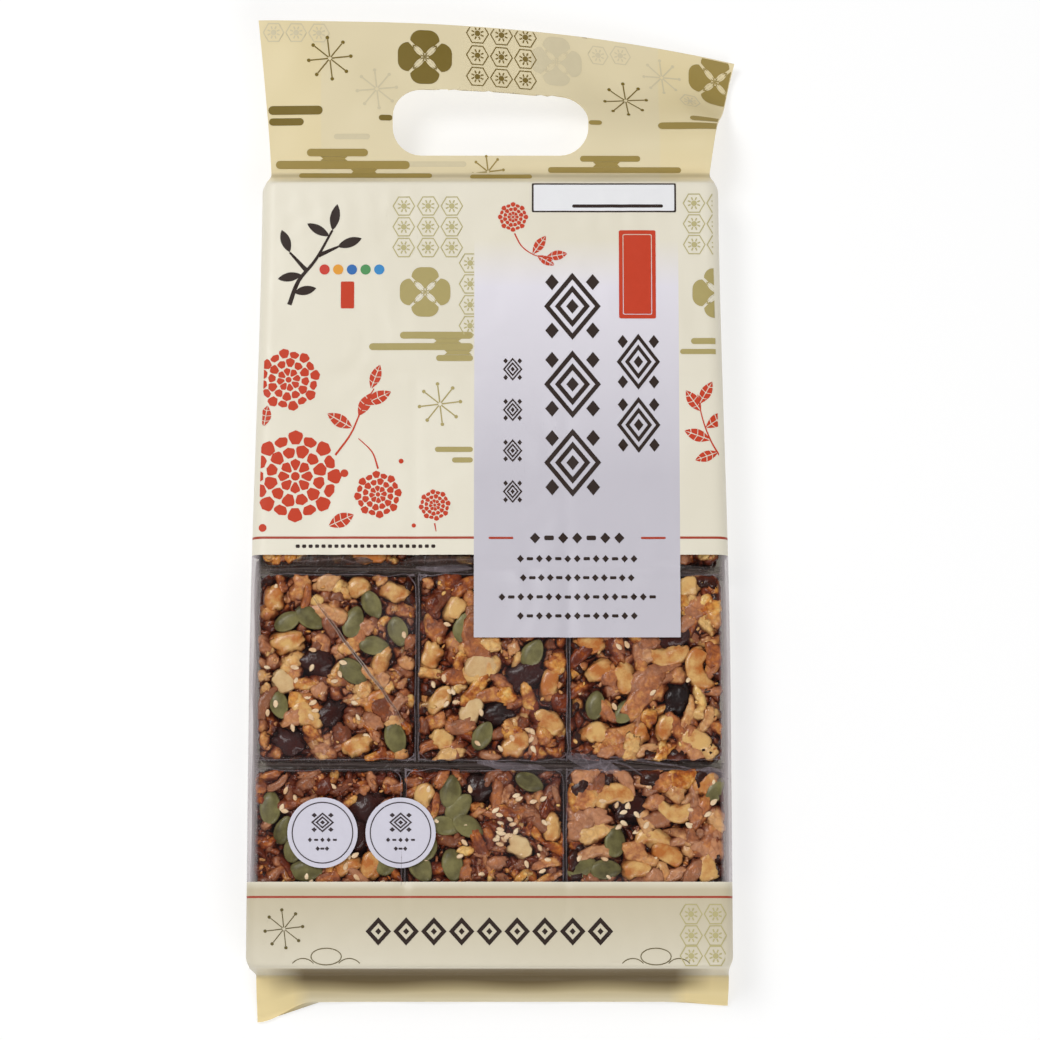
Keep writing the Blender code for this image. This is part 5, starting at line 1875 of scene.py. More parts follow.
@dataclass
class SachimaBlocks:
    """The blocks: lumps of fried dough in dark syrup, with seeds, nuts, raisins and sesame on them."""

    form: FilmForm
    groups: Groups
    top: float = 0.02300
    bottom: float = 0.00145
    core_sink: float = 0.0014
    crevice: float = 0.0017
    round_off: float = 0.0016
    toppings: dict[Topping, Heap] = field(default_factory=dict)

    def _seen(self, margin: float) -> tuple[float, float]:
        """Lowest and highest y that show in the window, with a margin."""
        middle = self.form.shift[1]
        return middle + SIZE.window[0] - margin, middle + SIZE.window[1] + margin

    def _squash(self, points: np.ndarray, low: Vector, high: Vector, soft: float = 0.0006) -> np.ndarray:
        """Presses a lump into its block's rounded, slightly uneven outline and under its front."""
        made = points.copy()
        radius = ROUND_CORNER
        inner = np.clip(made[:, :2], (low.x + radius, low.y + radius), (high.x - radius, high.y - radius))
        out = made[:, :2] - inner
        reach = np.linalg.norm(out, axis=1)
        uneven = np.clip(ripple(made[:, :2] / 0.0042, 61, 4), -1.0, 1.0)
        limit = radius - 0.0004 * (1.0 + uneven)
        over = np.maximum(reach - limit + soft, 0.0)
        held = np.where(over > 0, limit - soft * np.exp(-over / soft), reach)
        made[:, :2] = inner + out * (held / np.maximum(reach, 1e-9))[:, None]
        over = np.maximum(made[:, 2] - self.top + soft, 0.0)
        made[:, 2] = np.where(over > 0, self.top - soft * np.exp(-over / soft), made[:, 2])
        return made

    def _sunk(self, points: np.ndarray) -> np.ndarray:
        """How deep each place lies below the block's top: 0 at the top and 1 in its hollows. The materials
        darken by it, partly for pooled syrup and partly as painted shade.
        """
        return np.clip((self.top - 0.00035 - points[:, 2]) / 0.0030, 0.0, 1.0)

    def _core(self, heap: Heap, recipe: Recipe, taken: list, low: Vector, high: Vector, seed: int) -> None:
        """The knobbly, syrup-soaked body of a block, which shows between the lumps on it.

        Args:
            heap: Where it goes.
            recipe: How the block looks.
            taken: Places, sizes and turns of the toppings.
            low: Lowest corner of the block.
            high: Highest corner of the block.
            seed: Seed of its knobs.
        """
        draw = np.random.default_rng(seed + 900)
        inset, fine, rough = 0.0009, 0.00040, 0.0030
        seen_low, seen_high = self._seen(0.001)
        xs = np.linspace(low.x + inset, high.x - inset, round((high.x - low.x) / fine))
        ys = [low.y + inset]
        while ys[-1] < high.y - inset:
            ys.append(ys[-1] + (fine if seen_low < ys[-1] < seen_high else rough))
        ys = np.array(ys[:-1] + [high.y - inset])
        grid_x, grid_y = np.meshgrid(xs, ys)
        plan = np.stack([grid_x.ravel(), grid_y.ravel()], axis=1)
        warp = np.stack([ripple(plan / 0.0052, seed + k) for k in (1, 2)], axis=1)
        plan_warped = plan + 0.0006 * warp
        knobs = self._knobs(draw, recipe.pitch * 0.78, low, high)
        tints = np.clip(draw.normal(recipe.tone + 0.20, 0.20, len(knobs)), 0.0, 1.0)
        blushes = np.clip(draw.normal(recipe.blush, 0.25, len(knobs)), 0.0, 0.7)
        nearest, between = self._cells(plan_warped, knobs)
        crevice = np.exp(-between / 0.00050)
        grain = ripple(plan / 0.0016, seed + 3)
        z = self.top - self.core_sink - self.crevice * crevice + 0.00012 * grain
        z = z + 0.0005 * ripple(plan / 0.012, seed + 4) - 0.0014 * self._near(plan, taken)
        x, y = plan.T
        edge = np.min([x - low.x, high.x - x, y - low.y, high.y - y], axis=0)
        z -= self.round_off * (1.0 - ease(edge / 0.0035))
        # Depth that darkens the crevices and the lower places: partly syrup, partly painted shade
        depth = np.clip(0.10 + 0.85 * crevice + (self.top - self.core_sink - z) / 0.0050, 0.0, 1.0)
        count_x, count_y = len(xs), len(ys)
        faces = grid_faces(count_y, count_x)
        rim = list(range(count_x)) + [j * count_x + count_x - 1 for j in range(1, count_y)]
        rim += [(count_y - 1) * count_x + i for i in range(count_x - 2, -1, -1)]
        rim += [j * count_x for j in range(count_y - 2, 0, -1)]
        points = np.column_stack([plan, z])
        foot = points[rim].copy()
        foot[:, 2] = self.bottom
        total = len(points)
        faces += [
            (rim[k], total + k, total + (k + 1) % len(rim), rim[(k + 1) % len(rim)]) for k in range(len(rim))
        ]
        faces.append(tuple(total + k for k in reversed(range(len(rim)))))
        every = np.concatenate([points, foot])
        pad = np.full(len(foot), 0.8)
        heap.put(
            every,
            faces,
            np.concatenate([tints[nearest], pad]),
            np.concatenate([depth, pad]),
            np.concatenate([blushes[nearest], 0.0 * pad]),
        )

    @staticmethod
    def _knobs(draw: np.random.Generator, pitch: float, low: Vector, high: Vector) -> np.ndarray:
        """Middles of the knobs on a block, about one pitch apart."""
        across, up = (round((high[axis] - low[axis]) / pitch) for axis in (0, 1))
        cells = np.array([(i + 0.25 * (j % 2), j) for i in range(-1, across + 1) for j in range(-1, up + 1)])
        jitter = draw.uniform(0.08, 0.92, cells.shape)
        return np.array([low.x, low.y]) + (cells + jitter) * pitch

    @staticmethod
    def _cells(plan: np.ndarray, knobs: np.ndarray) -> tuple[np.ndarray, np.ndarray]:
        """Which knob each place belongs to, and how far inside that knob's edge it lies."""
        nearest = np.empty(len(plan), dtype=int)
        between = np.empty(len(plan))
        for start in range(0, len(plan), 4000):
            part = plan[start : start + 4000]
            apart = np.linalg.norm(part[:, None] - knobs[None], axis=2)
            two = np.partition(apart, 1, axis=1)
            nearest[start : start + 4000] = np.argmin(apart, axis=1)
            between[start : start + 4000] = two[:, 1] - two[:, 0]
        return nearest, between

    @staticmethod
    def _near(plan: np.ndarray, taken: list) -> np.ndarray:
        """1 under a topping, falling to 0 a little way outside it."""
        most = np.zeros(len(plan))
        for x, y, length, width, turn in taken:
            cos, sin = math.cos(turn), math.sin(turn)
            a = (plan[:, 0] - x) * cos + (plan[:, 1] - y) * sin
            b = -(plan[:, 0] - x) * sin + (plan[:, 1] - y) * cos
            reach = np.sqrt((a / (length / 2)) ** 2 + (b / (width / 2)) ** 2)
            most = np.maximum(most, ease((1.35 - reach) / 0.35))
        return most

    def _lump(self, draw: np.random.Generator, recipe: Recipe, fine: bool) -> tuple[np.ndarray, list]:
        """One lump of dough: a knobbly puff, or a bent strip."""
        strip = draw.random() < recipe.strips
        points, faces = (self.strip if strip else self.puff) if fine else self.coarse
        seed = int(draw.integers(MANY_SEEDS))
        swell = 0.80 + 0.17 * ripple(points * 0.42, seed, 4)
        swell = swell + 0.24 * np.abs(ripple(points * 0.70, seed + 1, 4))
        swell += 0.11 * np.abs(ripple(points * 1.30, seed + 2, 4))
        points = points * swell[:, None]
        if strip:
            points = blunt(points)
        size = recipe.big * float(np.clip(draw.lognormal(0.0, 0.22), 0.65, 1.5))
        length, width, depth = (draw.uniform(*span) for span in (STRIP_SIZE if strip else PUFF_SIZE))
        length *= recipe.long if strip else 1.0
        points = points * np.array([length, width, depth]) / 2 * size
        if strip:
            points = curl(points, length * size, float(draw.uniform(0.25, 1.9)))
        return points, faces

    def _tone(self, draw: np.random.Generator, recipe: Recipe) -> tuple[float, float]:
        """Tint and blush of one lump."""
        tint = float(np.clip(draw.normal(recipe.tone, 0.34), 0.0, 1.0))
        blush = float(np.clip(draw.normal(recipe.blush, 0.28), 0.0, 0.85))
        return tint, blush

    def _cover(self, heap: Heap, recipe: Recipe, taken: list, low: Vector, high: Vector, seed: int) -> None:
        """Covers a block's front with lumps in two passes, and its sides in one."""
        draw = np.random.default_rng(seed)
        seen_low, seen_high = self._seen(0.004)
        for sink, apart, fine in PASSES:
            pitch = recipe.pitch * apart
            across = max(2, round((high.x - low.x) / pitch))
            up = max(2, round((high.y - low.y) / pitch))
            for i in range(across):
                for j in range(up):
                    shift = 0.5 * (j % 2) - 0.25
                    x = low.x + (i + 0.5 + shift + draw.uniform(-0.32, 0.32)) * (high.x - low.x) / across
                    y = low.y + (j + 0.5 + draw.uniform(-0.36, 0.36)) * (high.y - low.y) / up
                    points, faces = self._lump(draw, recipe, fine)
                    points = turned(points, draw.uniform(0, 360), draw.normal(0, 10), draw.normal(0, 22))
                    z = self.top - sink - abs(draw.normal(0, 0.0006))
                    tint, blush = self._tone(draw, recipe)
                    if not seen_low < y < seen_high or self._corner(x, y, low, high):
                        continue
                    if self._on(x, y, taken):
                        continue
                    points = self._squash(points + np.array([x, y, z]), low, high)
                    heap.put(points, faces, tint, self._sunk(points), blush)
        for _ in range(recipe.crumbs):
            x, y = draw.uniform(low.x + 0.002, high.x - 0.002), draw.uniform(low.y + 0.002, high.y - 0.002)
            points, faces = self.crumb
            swell = 0.9 + 0.2 * ripple(points * 0.5, int(draw.integers(MANY_SEEDS)), 3)
            size = draw.uniform(0.0010, 0.0023) * np.array([1.0, draw.uniform(0.5, 0.8), 0.6]) / 2
            points = turned(points * swell[:, None] * size, draw.uniform(0, 360), draw.normal(0, 14), 0.0)
            z = self.top - draw.uniform(0.0001, 0.0009)
            tint, blush = self._tone(draw, recipe)
            if seen_low < y < seen_high and not self._corner(x, y, low, high) and not self._on(x, y, taken):
                points = self._squash(points + np.array([x, y, z]), low, high, 0.0002)
                heap.put(points, faces, 0.7 * tint, 0.5 * self._sunk(points), blush)
        for axis, side in ((0, -1), (0, 1), (1, -1), (1, 1)):
            self._line_side(heap, draw, recipe, axis, side, low, high, (seen_low, seen_high))

    def _line_side(
        self,
        heap: Heap,
        draw: np.random.Generator,
        recipe: Recipe,
        axis: int,
        side: int,
        low: Vector,
        high: Vector,
        seen: tuple[float, float],
    ) -> None:
        """Covers one upright side of a block with lumps."""
        other = 1 - axis
        span = high[other] - low[other]
        along = max(2, round(span / 0.0052))
        face = high[axis] if side > 0 else low[axis]
        for i in range(along):
            for j in range(4):
                place = [0.0, 0.0, self.bottom + 0.0022 + j * 0.0047 + draw.uniform(-0.001, 0.001)]
                place[other] = low[other] + (i + 0.5 + draw.uniform(-0.3, 0.3)) * span / along
                place[axis] = face - side * 0.0021
                points, faces = self._lump(draw, recipe, False)
                points = turned(points, draw.uniform(0, 360), draw.uniform(-90, 90), draw.uniform(0, 360))
                tint, blush = self._tone(draw, recipe)
                if not seen[0] < place[1] < seen[1]:
                    continue
                points = self._squash(points + np.array(place), low, high)
                points[:, 2] = np.maximum(points[:, 2], self.bottom)
                out = side * (face - points[:, axis])
                # Darker further in from the side: partly syrup, partly painted shade
                heap.put(points, faces, tint, np.clip(0.15 + out / 0.0032, 0.0, 1.0), blush)

    @staticmethod
    def _corner(x: float, y: float, low: Vector, high: Vector) -> bool:
        """True for a place in the rounded-off corner of a block."""
        radius = BARE_CORNER
        dx = max(low.x + radius - x, x - high.x + radius, 0.0)
        dy = max(low.y + radius - y, y - high.y + radius, 0.0)
        return math.hypot(dx, dy) > radius - 0.0014

    @staticmethod
    def _on(x: float, y: float, taken: list[tuple[float, float, float, float, float]]) -> bool:
        """True for a place that a topping covers."""
        for tx, ty, length, width, turn in taken:
            cos, sin = math.cos(turn), math.sin(turn)
            a = (x - tx) * cos + (y - ty) * sin
            b = -(x - tx) * sin + (y - ty) * cos
            if (a / (length * 0.50 + 0.0006)) ** 2 + (b / (width * 0.50 + 0.0006)) ** 2 < 1.0:
                return True
        return False

    @staticmethod
    def _taken(places: list, low: Vector, high: Vector) -> list[tuple[float, float, float, float, float]]:
        """Places, sizes and turns of a block's toppings."""
        made = []
        for kind, across, up, turn in places:
            length, width, _ = kind.value
            x = low.x + across * (high.x - low.x)
            y = low.y + up * (high.y - low.y)
            if kind is CURL:
                length, width = length * 0.80, width * 1.5
            made.append((x, y, length, width, math.radians(turn)))
        return made

    def _top_up(self, key: tuple[int, int], recipe: Recipe, low: Vector, high: Vector, seed: int) -> None:
        """Puts the toppings on a block."""
        draw = np.random.default_rng(seed + 500)
        for kind, across, up, turn in PLACES[key]:
            points, faces, tint = self._topping(kind, draw)
            points = turned(points, turn, draw.uniform(-7, 7), draw.uniform(-9, 9))
            sink = 0.5 * kind.value[2] - (0.0003 if kind is SEED else 0.0005)
            x, y = low.x + across * (high.x - low.x), low.y + up * (high.y - low.y)
            place = np.array([x, y, self.top - sink])
            points = self._squash(points + place, low, high, 0.0010 if kind is RAISIN else 0.0004)
            self._heap(kind).put(points, faces, tint, self._sunk(points))
        seen_low, seen_high = self._seen(0.002)
        clusters = [(draw.uniform(0.15, 0.85), draw.uniform(0.15, 0.85)) for _ in range(4)]
        for i in range(recipe.sesame):
            across, up = draw.uniform(0.06, 0.94), draw.uniform(0.05, 0.95)
            if i % 2:
                spot = clusters[i % len(clusters)]
                across = float(np.clip(draw.normal(spot[0], 0.08), 0.05, 0.95))
                up = float(np.clip(draw.normal(spot[1], 0.07), 0.05, 0.95))
            x, y = low.x + across * (high.x - low.x), low.y + up * (high.y - low.y)
            points, faces, tint = self._topping(SESAME, draw)
            points = turned(points, draw.uniform(0, 360), draw.uniform(-20, 20), draw.uniform(-20, 20))
            if seen_low < y < seen_high and not self._corner(x, y, low, high):
                z = self.top - draw.uniform(-0.0001, 0.0010)
                points = self._squash(points + np.array([x, y, z]), low, high, 0.0002)
                self._heap(SESAME).put(points, faces, tint, 0.6 * self._sunk(points))

    def _heap(self, kind: Topping) -> Heap:
        """The heap that a kind of topping goes in; curls are nuts too."""
        kind = NUT if kind is CURL else kind
        return self.toppings.setdefault(kind, Heap())

    def _topping(
        self, kind: Topping, draw: np.random.Generator
    ) -> tuple[np.ndarray, list, np.ndarray | float]:
        """One topping before it is placed, and its tint, as one number or one for each point."""
        length, width, depth = kind.value
        half = np.array([length, width, depth]) / 2
        seed = int(draw.integers(MANY_SEEDS))
        size = draw.uniform(0.90, 1.10)
        if kind is SESAME:
            points, faces = self.grain
            points = points * (1.0 + 0.05 * ripple(points * 0.4, seed, 3))[:, None]
            taper = 1.0 - 0.38 * np.clip(points[:, 0], 0.0, 1.0)
            points = points * np.stack([np.ones(len(points)), taper, taper], axis=1)
            return points * half * size, faces, float(draw.uniform(0.0, 0.7))
        points, faces = self.smooth
        tint: np.ndarray | float = float(draw.uniform(0.1, 0.9))
        if kind is SEED:
            across = points[:, 1] / np.maximum(np.sqrt(1.0 - np.clip(points[:, 0], -0.98, 0.98) ** 2), 0.2)
            streaks = np.cos(across * 9.5) * np.exp(-((across / 0.55) ** 2))
            light = 0.45 * np.exp(-(((np.abs(across) - 0.84) / 0.09) ** 2)) + 0.06 * streaks
            tint = np.clip(0.20 + 0.50 * tint - light, 0.0, 1.0)
            taper = 1.0 - 0.26 * np.clip(points[:, 0], 0.0, 1.0) ** 1.3
            rim = np.exp(-(((np.abs(points[:, 1]) - 0.74) / 0.09) ** 2))
            ridge = 1.0 + 0.05 * np.exp(-((points[:, 1] / 0.20) ** 2)) - 0.20 * rim
            points = points * np.stack([np.ones(len(points)), taper, taper**0.5 * ridge], axis=1)
            points = points * (1.0 + 0.04 * ripple(points * 0.35, seed, 3))[:, None]
        elif kind is RAISIN:
            folds = np.abs(ripple(points * np.array([0.40, 1.2, 1.2]), seed, 4))
            points = points * (0.82 + 0.24 * folds + 0.05 * ripple(points * 0.3, seed + 1, 3))[:, None]
        else:
            lumps = 0.12 * ripple(points * 0.40, seed, 4) + 0.16 * np.abs(ripple(points * 0.66, seed + 1, 4))
            lumps += 0.07 * np.abs(ripple(points * 1.5, seed + 2, 4))
            points = blunt(points) * (0.88 + lumps)[:, None]
        points = points * half * size
        if kind is CURL:
            points = curl(points, length * size, float(draw.uniform(2.2, 2.9)))
        elif kind is NUT:
            points = curl(points, length * size, float(draw.uniform(0.3, 1.3)))
        return points, faces, tint

    def build(self) -> None:
        """Makes every block and the toppings."""
        self.puff, self.strip, self.coarse = ball(12, 16), ball(15, 13), ball(8, 10)
        self.smooth, self.grain, self.crumb = ball(22, 24), ball(6, 7), ball(5, 6)
        dough = SyrupDough("syrup_dough", srgb(170, 90, 32), 0.3, 0.20).build(self.groups)
        for row in ROWS_V:
            for column in range(1, 4):
                low, high = grown_box(row, column)
                key, seed = (row, column), 100 * row + column
                recipe = RECIPES.get(key, Recipe())
                heap = Heap()
                taken = self._taken(PLACES[key], low, high)
                self._core(heap, recipe, taken, low, high, seed)
                self._cover(heap, recipe, taken, low, high, seed)
                self._top_up(key, recipe, low, high, seed)
                declare(heap.build(f"block_{row}_{column}", dough), "sachima", f"sachima_{row}_{column}")
        # Syrup colour, which the nuts, pale nuts and sesame also darken to on their sides and deep places as
        # painted shade
        syrup = srgb(104, 46, 14)
        looks = {
            SEED: Kernel(
                "pumpkin_seeds", srgb(126, 119, 74), 0.36, 0.25, second=srgb(74, 67, 32),
                edge=srgb(56, 36, 12), grain=200.0, wrinkle=0.25, gloss=0.05, stain=0.5, rim=0.75,
            ),
            RAISIN: Kernel(
                "raisins", srgb(60, 22, 15), 0.28, 0.26, second=srgb(24, 8, 6),
                edge=srgb(14, 4, 3), grain=150.0, wrinkle=0.9, gloss=0.04,
            ),
            NUT: Kernel(
                "nuts", srgb(220, 176, 110), 0.28, 0.35, second=srgb(184, 108, 44),
                edge=syrup, grain=230.0, gloss=0.16, stain=0.7, rim=0.9,
            ),
            PALE: Kernel(
                "pale_nuts", srgb(224, 196, 146), 0.34, 0.3, second=srgb(196, 152, 100),
                edge=syrup, grain=230.0, gloss=0.08, rim=0.8,
            ),
            SESAME: Kernel(
                "sesame", srgb(240, 214, 176), 0.34, 0.35, second=srgb(214, 166, 118),
                edge=syrup, grain=500.0, gloss=0.08, rim=0.7,
            ),
        }
        for kind, look in looks.items():
            declare(self.toppings[kind].build(look.name, look.build()), "sachima")


@dataclass
class InnerWrappers:
    """Clear wrapper round each block, with its pressed end seals in the gaps between the rows."""

    form: FilmForm
    groups: Groups
    top: float = 0.02330
    wall_start: float = 0.88
    fold: float = 0.0022
    loose: float = 0.00022

    def _shell(self, heap: Heap, low: Vector, high: Vector, seed: int) -> None:
        """One block's wrapper over its front and down its sides."""
        middle, half = (low + high) / 2, (high - low) / 2
        count = 26
        params = np.linspace(-1.0, 1.0, count)
        grid_x, grid_y = np.meshgrid(params, params)
        flat = np.stack([grid_x.ravel(), grid_y.ravel()], axis=1)
        reach = np.maximum(np.abs(flat[:, 0]), np.abs(flat[:, 1]))
        wall = np.clip((reach - self.wall_start) / (1.0 - self.wall_start), 0.0, 1.0)
        squeeze = np.where(reach > self.wall_start, self.wall_start / np.maximum(reach, 1e-6), 1.0)
        plan = flat * squeeze[:, None] / self.wall_start
        ring = np.clip(wall * 3.0, 0.0, 1.0)
        inset = self.fold * (1.0 - np.sin(ring * math.pi / 2))
        x = middle.x + plan[:, 0] * (half.x + self.loose - inset)
        y = middle.y + plan[:, 1] * (half.y + self.loose - inset)
        drop = self.fold * (1.0 - np.cos(ring * math.pi / 2)) + np.clip(wall * 3.0 - 1.0, 0.0, 2.0) * 0.0060
        crease = 0.00018 * ripple(np.stack([x / 0.013, y / 0.016], axis=1), seed)
        z = self.top - drop + np.where(reach < self.wall_start, np.maximum(crease, -0.00015), 0.0)
        heap.put(np.stack([x, y, z], axis=1), grid_faces(count, count), 0.0)

    def _ribbon(
        self, heap: Heap, path: Loop, profile: Loop, seed: int, wave: float = 0.0, tapered: bool = False
    ) -> None:
        """A narrow strip of film along a path.

        Args:
            heap: Where it goes.
            path: Points of its line in flat pattern coordinates, in millimetres.
            profile: Offset from the line and height, of each edge across the strip, in millimetres.
            seed: Seed of its waves.
            wave: How far it waves sideways, in millimetres.
            tapered: Whether its ends run out to a point.
        """
        line = smooth_line(path)
        ahead = np.gradient(line, axis=0)
        normal = np.stack([-ahead[:, 1], ahead[:, 0]], axis=1)
        normal /= np.linalg.norm(normal, axis=1)[:, None]
        sway = wave * ripple(line / 9.0, seed)
        rise = 0.12 * ripple(line / 6.0, seed + 1)
        wide = np.ones(len(line))
        if tapered:
            wide = np.sin(np.linspace(0.03, 1.0, len(line)) * math.pi * 0.985) ** 0.6
        points = np.array(
            [
                (*(place + side * (offset * share + shift)), height + lift)
                for place, side, shift, lift, share in zip(line, normal, sway, rise, wide)
                for offset, height in profile
            ]
        ) * MM
        points[:, 0] += self.form.shift[0]
        points[:, 1] += self.form.shift[1]
        middle = (profile[0][0] + profile[-1][0]) / 2
        reach = abs(profile[-1][0] - profile[0][0]) / 2
        tones = [1.0 - abs(offset - middle) / reach for offset, _ in profile]
        heap.put(points, grid_faces(len(line), len(profile)), np.tile(tones, len(line)))

    def _gaps(self, sheets: Heap, edges: Heap) -> None:
        """Film that bridges the gaps between the blocks, dark with painted shade, with the wrappers' edges
        standing in it as light strips of painted highlight.
        """
        top = 22.6
        for row in (3, 4):
            low, high = (value / MM for value in ROWS_V[row])
            low = max(low, SIZE.window[0] / MM)
            for k, x in enumerate(value / MM for value in GAPS_X[row]):
                path = [(x, low), (x + 0.2, (low + high) / 2), (x, high)]
                trough = [(-1.1, top - 1.3), (-0.7, top - 1.8), (-0.3, top - 2.0), (0.0, top - 1.9),
                          (0.3, top - 2.0), (0.7, top - 1.8), (1.1, top - 1.3)]
                self._ribbon(sheets, path, trough, 5 * row + k, 0.20)
                # The wrappers' edges in the gaps, as light strips of painted highlight
                for offset, tall in ((-0.50, 0.7), (0.42, 0.4)):
                    edge = [(offset, top - 3.0 + tall), (offset + 0.20, top - 0.6 + tall)]
                    self._ribbon(edges, path, edge, 7 * row + k, 0.24)
        for k, v in enumerate((-0.3, -64.2)):
            path = [(-76.0, v), (-30.0, v + 0.2), (20.0, v - 0.1), (50.0, v - 0.6), (76.0, v - 1.6)]
            trough = [(-2.4, top - 0.8), (-1.5, top - 1.4), (-0.7, top - 1.7), (0.1, top - 1.3),
                      (0.9, top - 1.6), (1.6, top - 1.3), (2.4, top - 0.8)]
            self._ribbon(sheets, path, trough, 41 + k, 0.25)
            # Edges in the row gaps, as light strips of painted highlight
            for offset in (-1.0, 0.2, 1.1):
                edge = [(offset, top - 2.8), (offset + 0.20, top - 0.7)]
                self._ribbon(edges, path, edge, 47 + k + round(9 * offset), 0.45)

    def _outline(self, heap: Heap, low: Vector, high: Vector, seed: int) -> None:
        """A painted highlight: the thin bright line where a wrapper turns over the edge of its block."""
        shift = Vector((*self.form.shift, 0.0))
        low, high = ((corner - shift) / MM for corner in (low, high))
        inset = 0.9
        size = (high.x - low.x - inset, high.y - low.y - inset)
        loop = rounded_box((low.x + high.x) / 2, (low.y + high.y) / 2, *size, 3.8)
        self._ribbon(heap, loop + loop[:1], [(-0.16, 23.05), (0.0, 23.15), (0.16, 23.05)], seed, 0.30)

    def _covers(self, sheets: Heap, creases: Heap) -> None:
        """Creased ends of wrappers over the blocks that show at the top of the window, as dark strips of
        painted shade.
        """
        for k, (left, right) in enumerate(((-64.0, -38.0), (-28.0, -4.0))):
            path = [(left, 2.2), ((left + right) / 2, 2.6), (right, 2.2)]
            self._ribbon(creases, path, [(-1.6, 22.9), (0.0, 23.15), (1.9, 23.0)], 71 + k, 0.5, True)
            self._ribbon(sheets, path, [(-2.0, 23.1), (0.0, 23.25), (2.0, 23.2)], 75 + k, 0.5, True)

    def _fans(self, fans: Heap) -> None:
        """Loose corners of film that fan out over the gap between the rows; their whitish grey is painted
        sheen.
        """
        top = 22.9
        places = (
            ([(25.0, -61.4), (33.0, -63.2), (42.0, -65.6)], 2.3),
            ([(27.0, -65.6), (34.0, -65.2), (41.0, -66.6)], 1.5),
            ([(68.0, -66.0), (73.0, -67.4), (77.0, -68.6)], 2.2),
            ([(-4.0, -63.2), (6.0, -64.4), (18.0, -65.0)], 1.3),
            ([(-24.0, 0.6), (-14.0, -0.4), (-6.0, 0.2)], 1.4),
        )
        shares = (-1.0, -0.6, -0.2, 0.2, 0.6, 1.0)
        for k, (path, wide) in enumerate(places):
            profile = [(wide * share, top - 0.5 * abs(share) ** 2) for share in shares]
            self._ribbon(fans, path, profile, 61 + k, 0.3, True)

    def _folds(self, edges: Heap, creases: Heap, fans: Heap) -> None:
        """Straight folds in the wrappers: a pair of edges across the first block, and two over a row gap.
        Each fold is a light strip of painted highlight beside a dark strip of painted shade.
        """
        top = 23.25
        line = ((-57.5, -9.0), (-45.5, -26.0), (-33.0, -42.5), (-27.8, -51.0))
        # The pair of fold edges, as light strips of painted highlight
        for offset in (-0.40, -0.40, 0.45, 0.45):
            path = [(x + offset, v) for x, v in line]
            self._ribbon(edges, path, [(-0.16, top), (0.0, top + 0.12), (0.16, top)], 3, 0.16, True)
            top += 0.02
        path = [(-57.0, -10.0), (-45.4, -26.0), (-32.9, -42.5), (-28.2, -50.0)]
        shade = [(-0.30, top - 0.15), (0.0, top - 0.05), (0.30, top - 0.15)]
        self._ribbon(creases, path, shade, 3, 0.16, True)
        # The light line of each row-gap fold is painted highlight, and the strip beside it painted shade
        line = [(-0.35, top - 1.0), (0.0, top - 0.8), (0.35, top - 1.0)]
        shade = [(-0.9, top - 1.1), (-0.5, top + 0.1 - 1.1), (-0.1, top - 1.1)]
        paths = (
            [(24.0, -60.2), (45.0, -62.2), (76.0, -66.8)],
            [(26.0, -66.5), (40.0, -63.0), (52.0, -68.5)],
        )
        for path in paths:
            self._ribbon(fans, path, line, 5, 0.15, True)
            self._ribbon(creases, path, shade, 5, 0.15, True)

    def build(self) -> None:
        """Makes the wrappers and the seals."""
        shells, sheets, edges, creases, fans = Heap(), Heap(), Heap(), Heap(), Heap()
        for row in (3, 4):
            for column in range(1, 4):
                low, high = grown_box(row, column)
                self._shell(shells, low, high, 10 * row + column)
                self._outline(fans, low, high, 80 + 10 * row + column)
        self._gaps(sheets, edges)
        self._folds(edges, creases, fans)
        self._fans(fans)
        self._covers(sheets, creases)
        looks = (
            # The wrappers round the blocks, with a little painted reflection in patches and along creases
            (shells, ClearFilm(
                "wrapper_sheets", srgb(206, 196, 204), 0.18, reflection_patches=0.04, crease_highlight=0.006, scale=1.5
            )),
            # Seals in the gaps: dark brown painted shade of the gaps, with a painted highlight line down the
            # middle
            (sheets, ClearFilm(
                "wrapper_seals", srgb(48, 30, 22), 0.3, reflection_patches=0.20, crease_highlight=0.14, painted_share=0.44,
                scale=2.6, highlight_line=srgb(122, 106, 104), highlight_line_share=0.05,
            )),
            # Painted shade: dark strips beside the folds and over the wrapper ends
            (creases, ClearFilm(
                "wrapper_crease_shade", srgb(60, 34, 20), 0.3, reflection_patches=0.1, crease_highlight=0.1, painted_share=0.36
            )),
            # Painted sheen and highlight: loose film corners, block outlines and the light fold lines
            (fans, ClearFilm(
                "wrapper_sheen_strips", srgb(158, 144, 152), 0.3, reflection_patches=0.26, crease_highlight=0.20, painted_share=0.20,
                scale=2.6,
            )),
            # Painted highlight: light strips for the wrappers' edges and the fold lines
            (edges, ClearFilm(
                "wrapper_edge_highlights", srgb(196, 178, 166), 0.25, reflection_patches=0.30, crease_highlight=0.1, painted_share=0.22
            )),
        )
        for heap, look in looks:
            declare(heap.build(look.name, look.build(self.groups)), "printed_film")


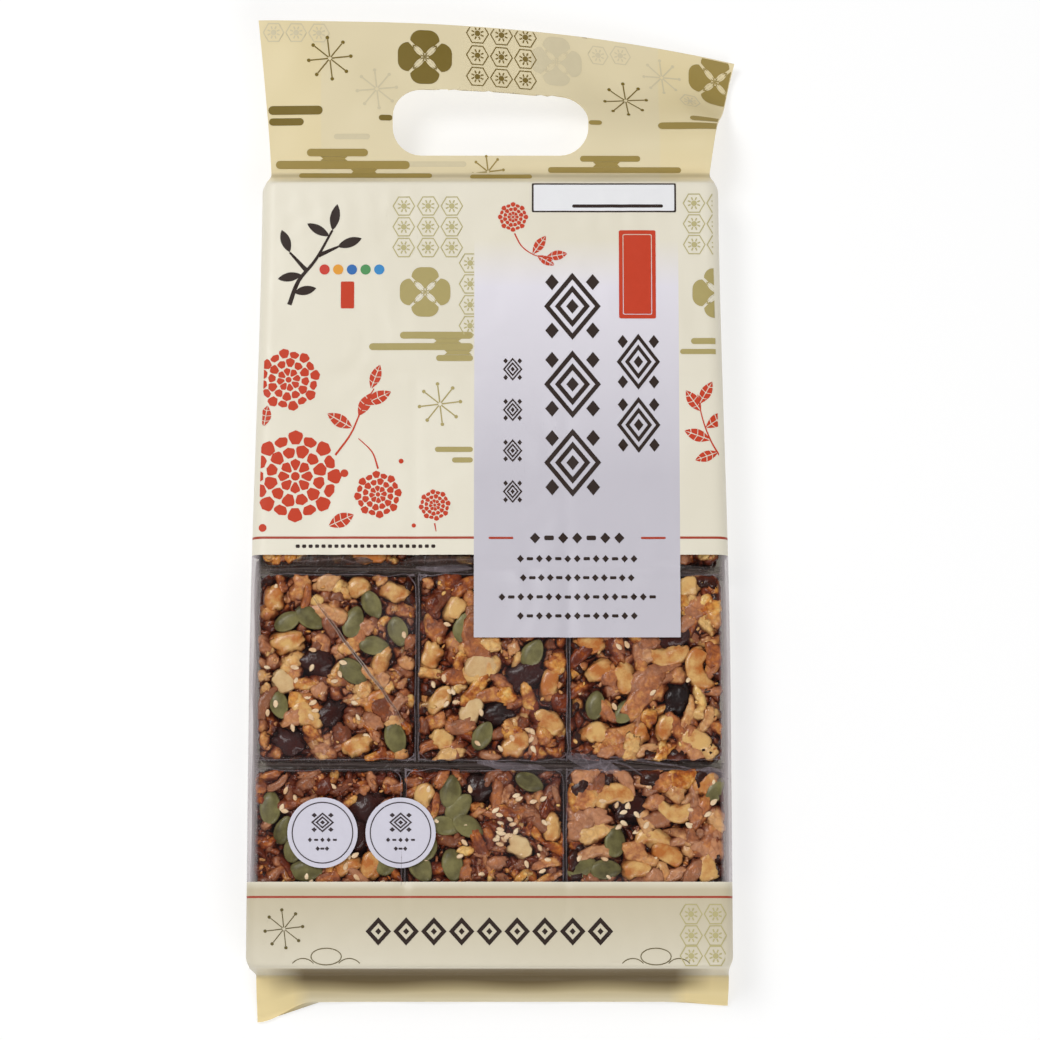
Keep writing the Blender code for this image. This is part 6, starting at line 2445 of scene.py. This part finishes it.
@dataclass
class Studio:
    """Pale floor, soft lights and the camera at the photo's view."""

    form: FilmForm
    distance: float = 1.100
    elevation: float = 82.0
    focal_px: float = 3378.0
    frame_px: float = 1040.0
    aim: tuple[float, float, float] = (0.0098, 0.0156, 0.024)
    floor_reach: float = 3.0
    floor_drop: float = 0.0001

    def _light(self, name: str, place: Vector, target: Vector, size: float, power: float) -> None:
        """A square area light that faces its target."""
        lamp = bpy.data.lights.new(name, "AREA")
        lamp.shape = "SQUARE"
        lamp.size = size
        lamp.energy = power
        made = bpy.data.objects.new(name, lamp)
        made.location = place
        made.rotation_euler = (target - place).to_track_quat("-Z", "Y").to_euler()
        bpy.context.scene.collection.objects.link(made)

    def build(self) -> None:
        """Makes the floor, the lights, the world and the camera."""
        corners = np.array([(-1, -1, 0), (1, -1, 0), (1, 1, 0), (-1, 1, 0)]) * self.floor_reach
        floor = mesh_object("floor", corners - np.array([0.0, 0.0, self.floor_drop]), [(0, 1, 2, 3)])
        floor.data.materials.append(Tabletop("tabletop", (0.44, 0.44, 0.44), 0.55, 0.2).build())
        floor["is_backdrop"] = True
        middle = Vector((self.form.shift[0], self.form.shift[1], 0.02))
        self._light("key", middle + Vector((-0.60, 0.55, 1.35)), middle, 0.60, 11.8)
        self._light("fill", middle + Vector((0.45, -0.85, 1.25)), middle, 0.80, 8.0)
        world = bpy.data.worlds.new("studio_air")
        bpy.context.scene.world = world
        world.use_nodes = True
        sky = world.node_tree.nodes["Background"]
        pen = NodePen(world.node_tree)
        height = pen.split(pen.add("ShaderNodeTexCoord").outputs["Generated"])[2]
        pen.put(sky.inputs["Color"], pen.spread(height, 0.60, 0.95, 1.0, 0.25))
        sky.inputs["Strength"].default_value = 0.42
        bpy.context.scene.view_settings.view_transform = "Standard"
        eye = bpy.data.cameras.new("camera")
        eye.sensor_width = 36.0
        eye.lens = self.focal_px / self.frame_px * eye.sensor_width
        eye.clip_start = 0.05
        camera = bpy.data.objects.new("camera", eye)
        aim = Vector((self.aim[0] + self.form.shift[0], self.aim[1] + self.form.shift[1], self.aim[2]))
        tilt = math.radians(self.elevation)
        camera.location = aim + self.distance * Vector((0.0, -math.cos(tilt), math.sin(tilt)))
        camera.rotation_euler = (math.pi / 2 - tilt, 0.0, 0.0)
        bpy.context.scene.collection.objects.link(camera)
        bpy.context.scene.camera = camera


def main() -> None:
    """Builds the pack piece by piece."""
    logging.basicConfig(level=logging.INFO, format="%(name)s: %(message)s")
    low, high = (Vector(corner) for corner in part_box("bag"))
    form = FilmForm(SIZE, (low.x + SIZE.half_low, high.y - SIZE.header_tip))
    groups = Groups(SIZE)
    BagFilm(form, groups).build()
    Artwork(form, groups).build()
    SachimaBlocks(form, groups).build()
    InnerWrappers(form, groups).build()
    Studio(form).build()
    boxes = {"cad": CAD_BOX, "visual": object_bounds()}
    {name: [list(map(float, corner)) for corner in box] for name, box in boxes.items()}


if __name__ == "__main__":
    main()
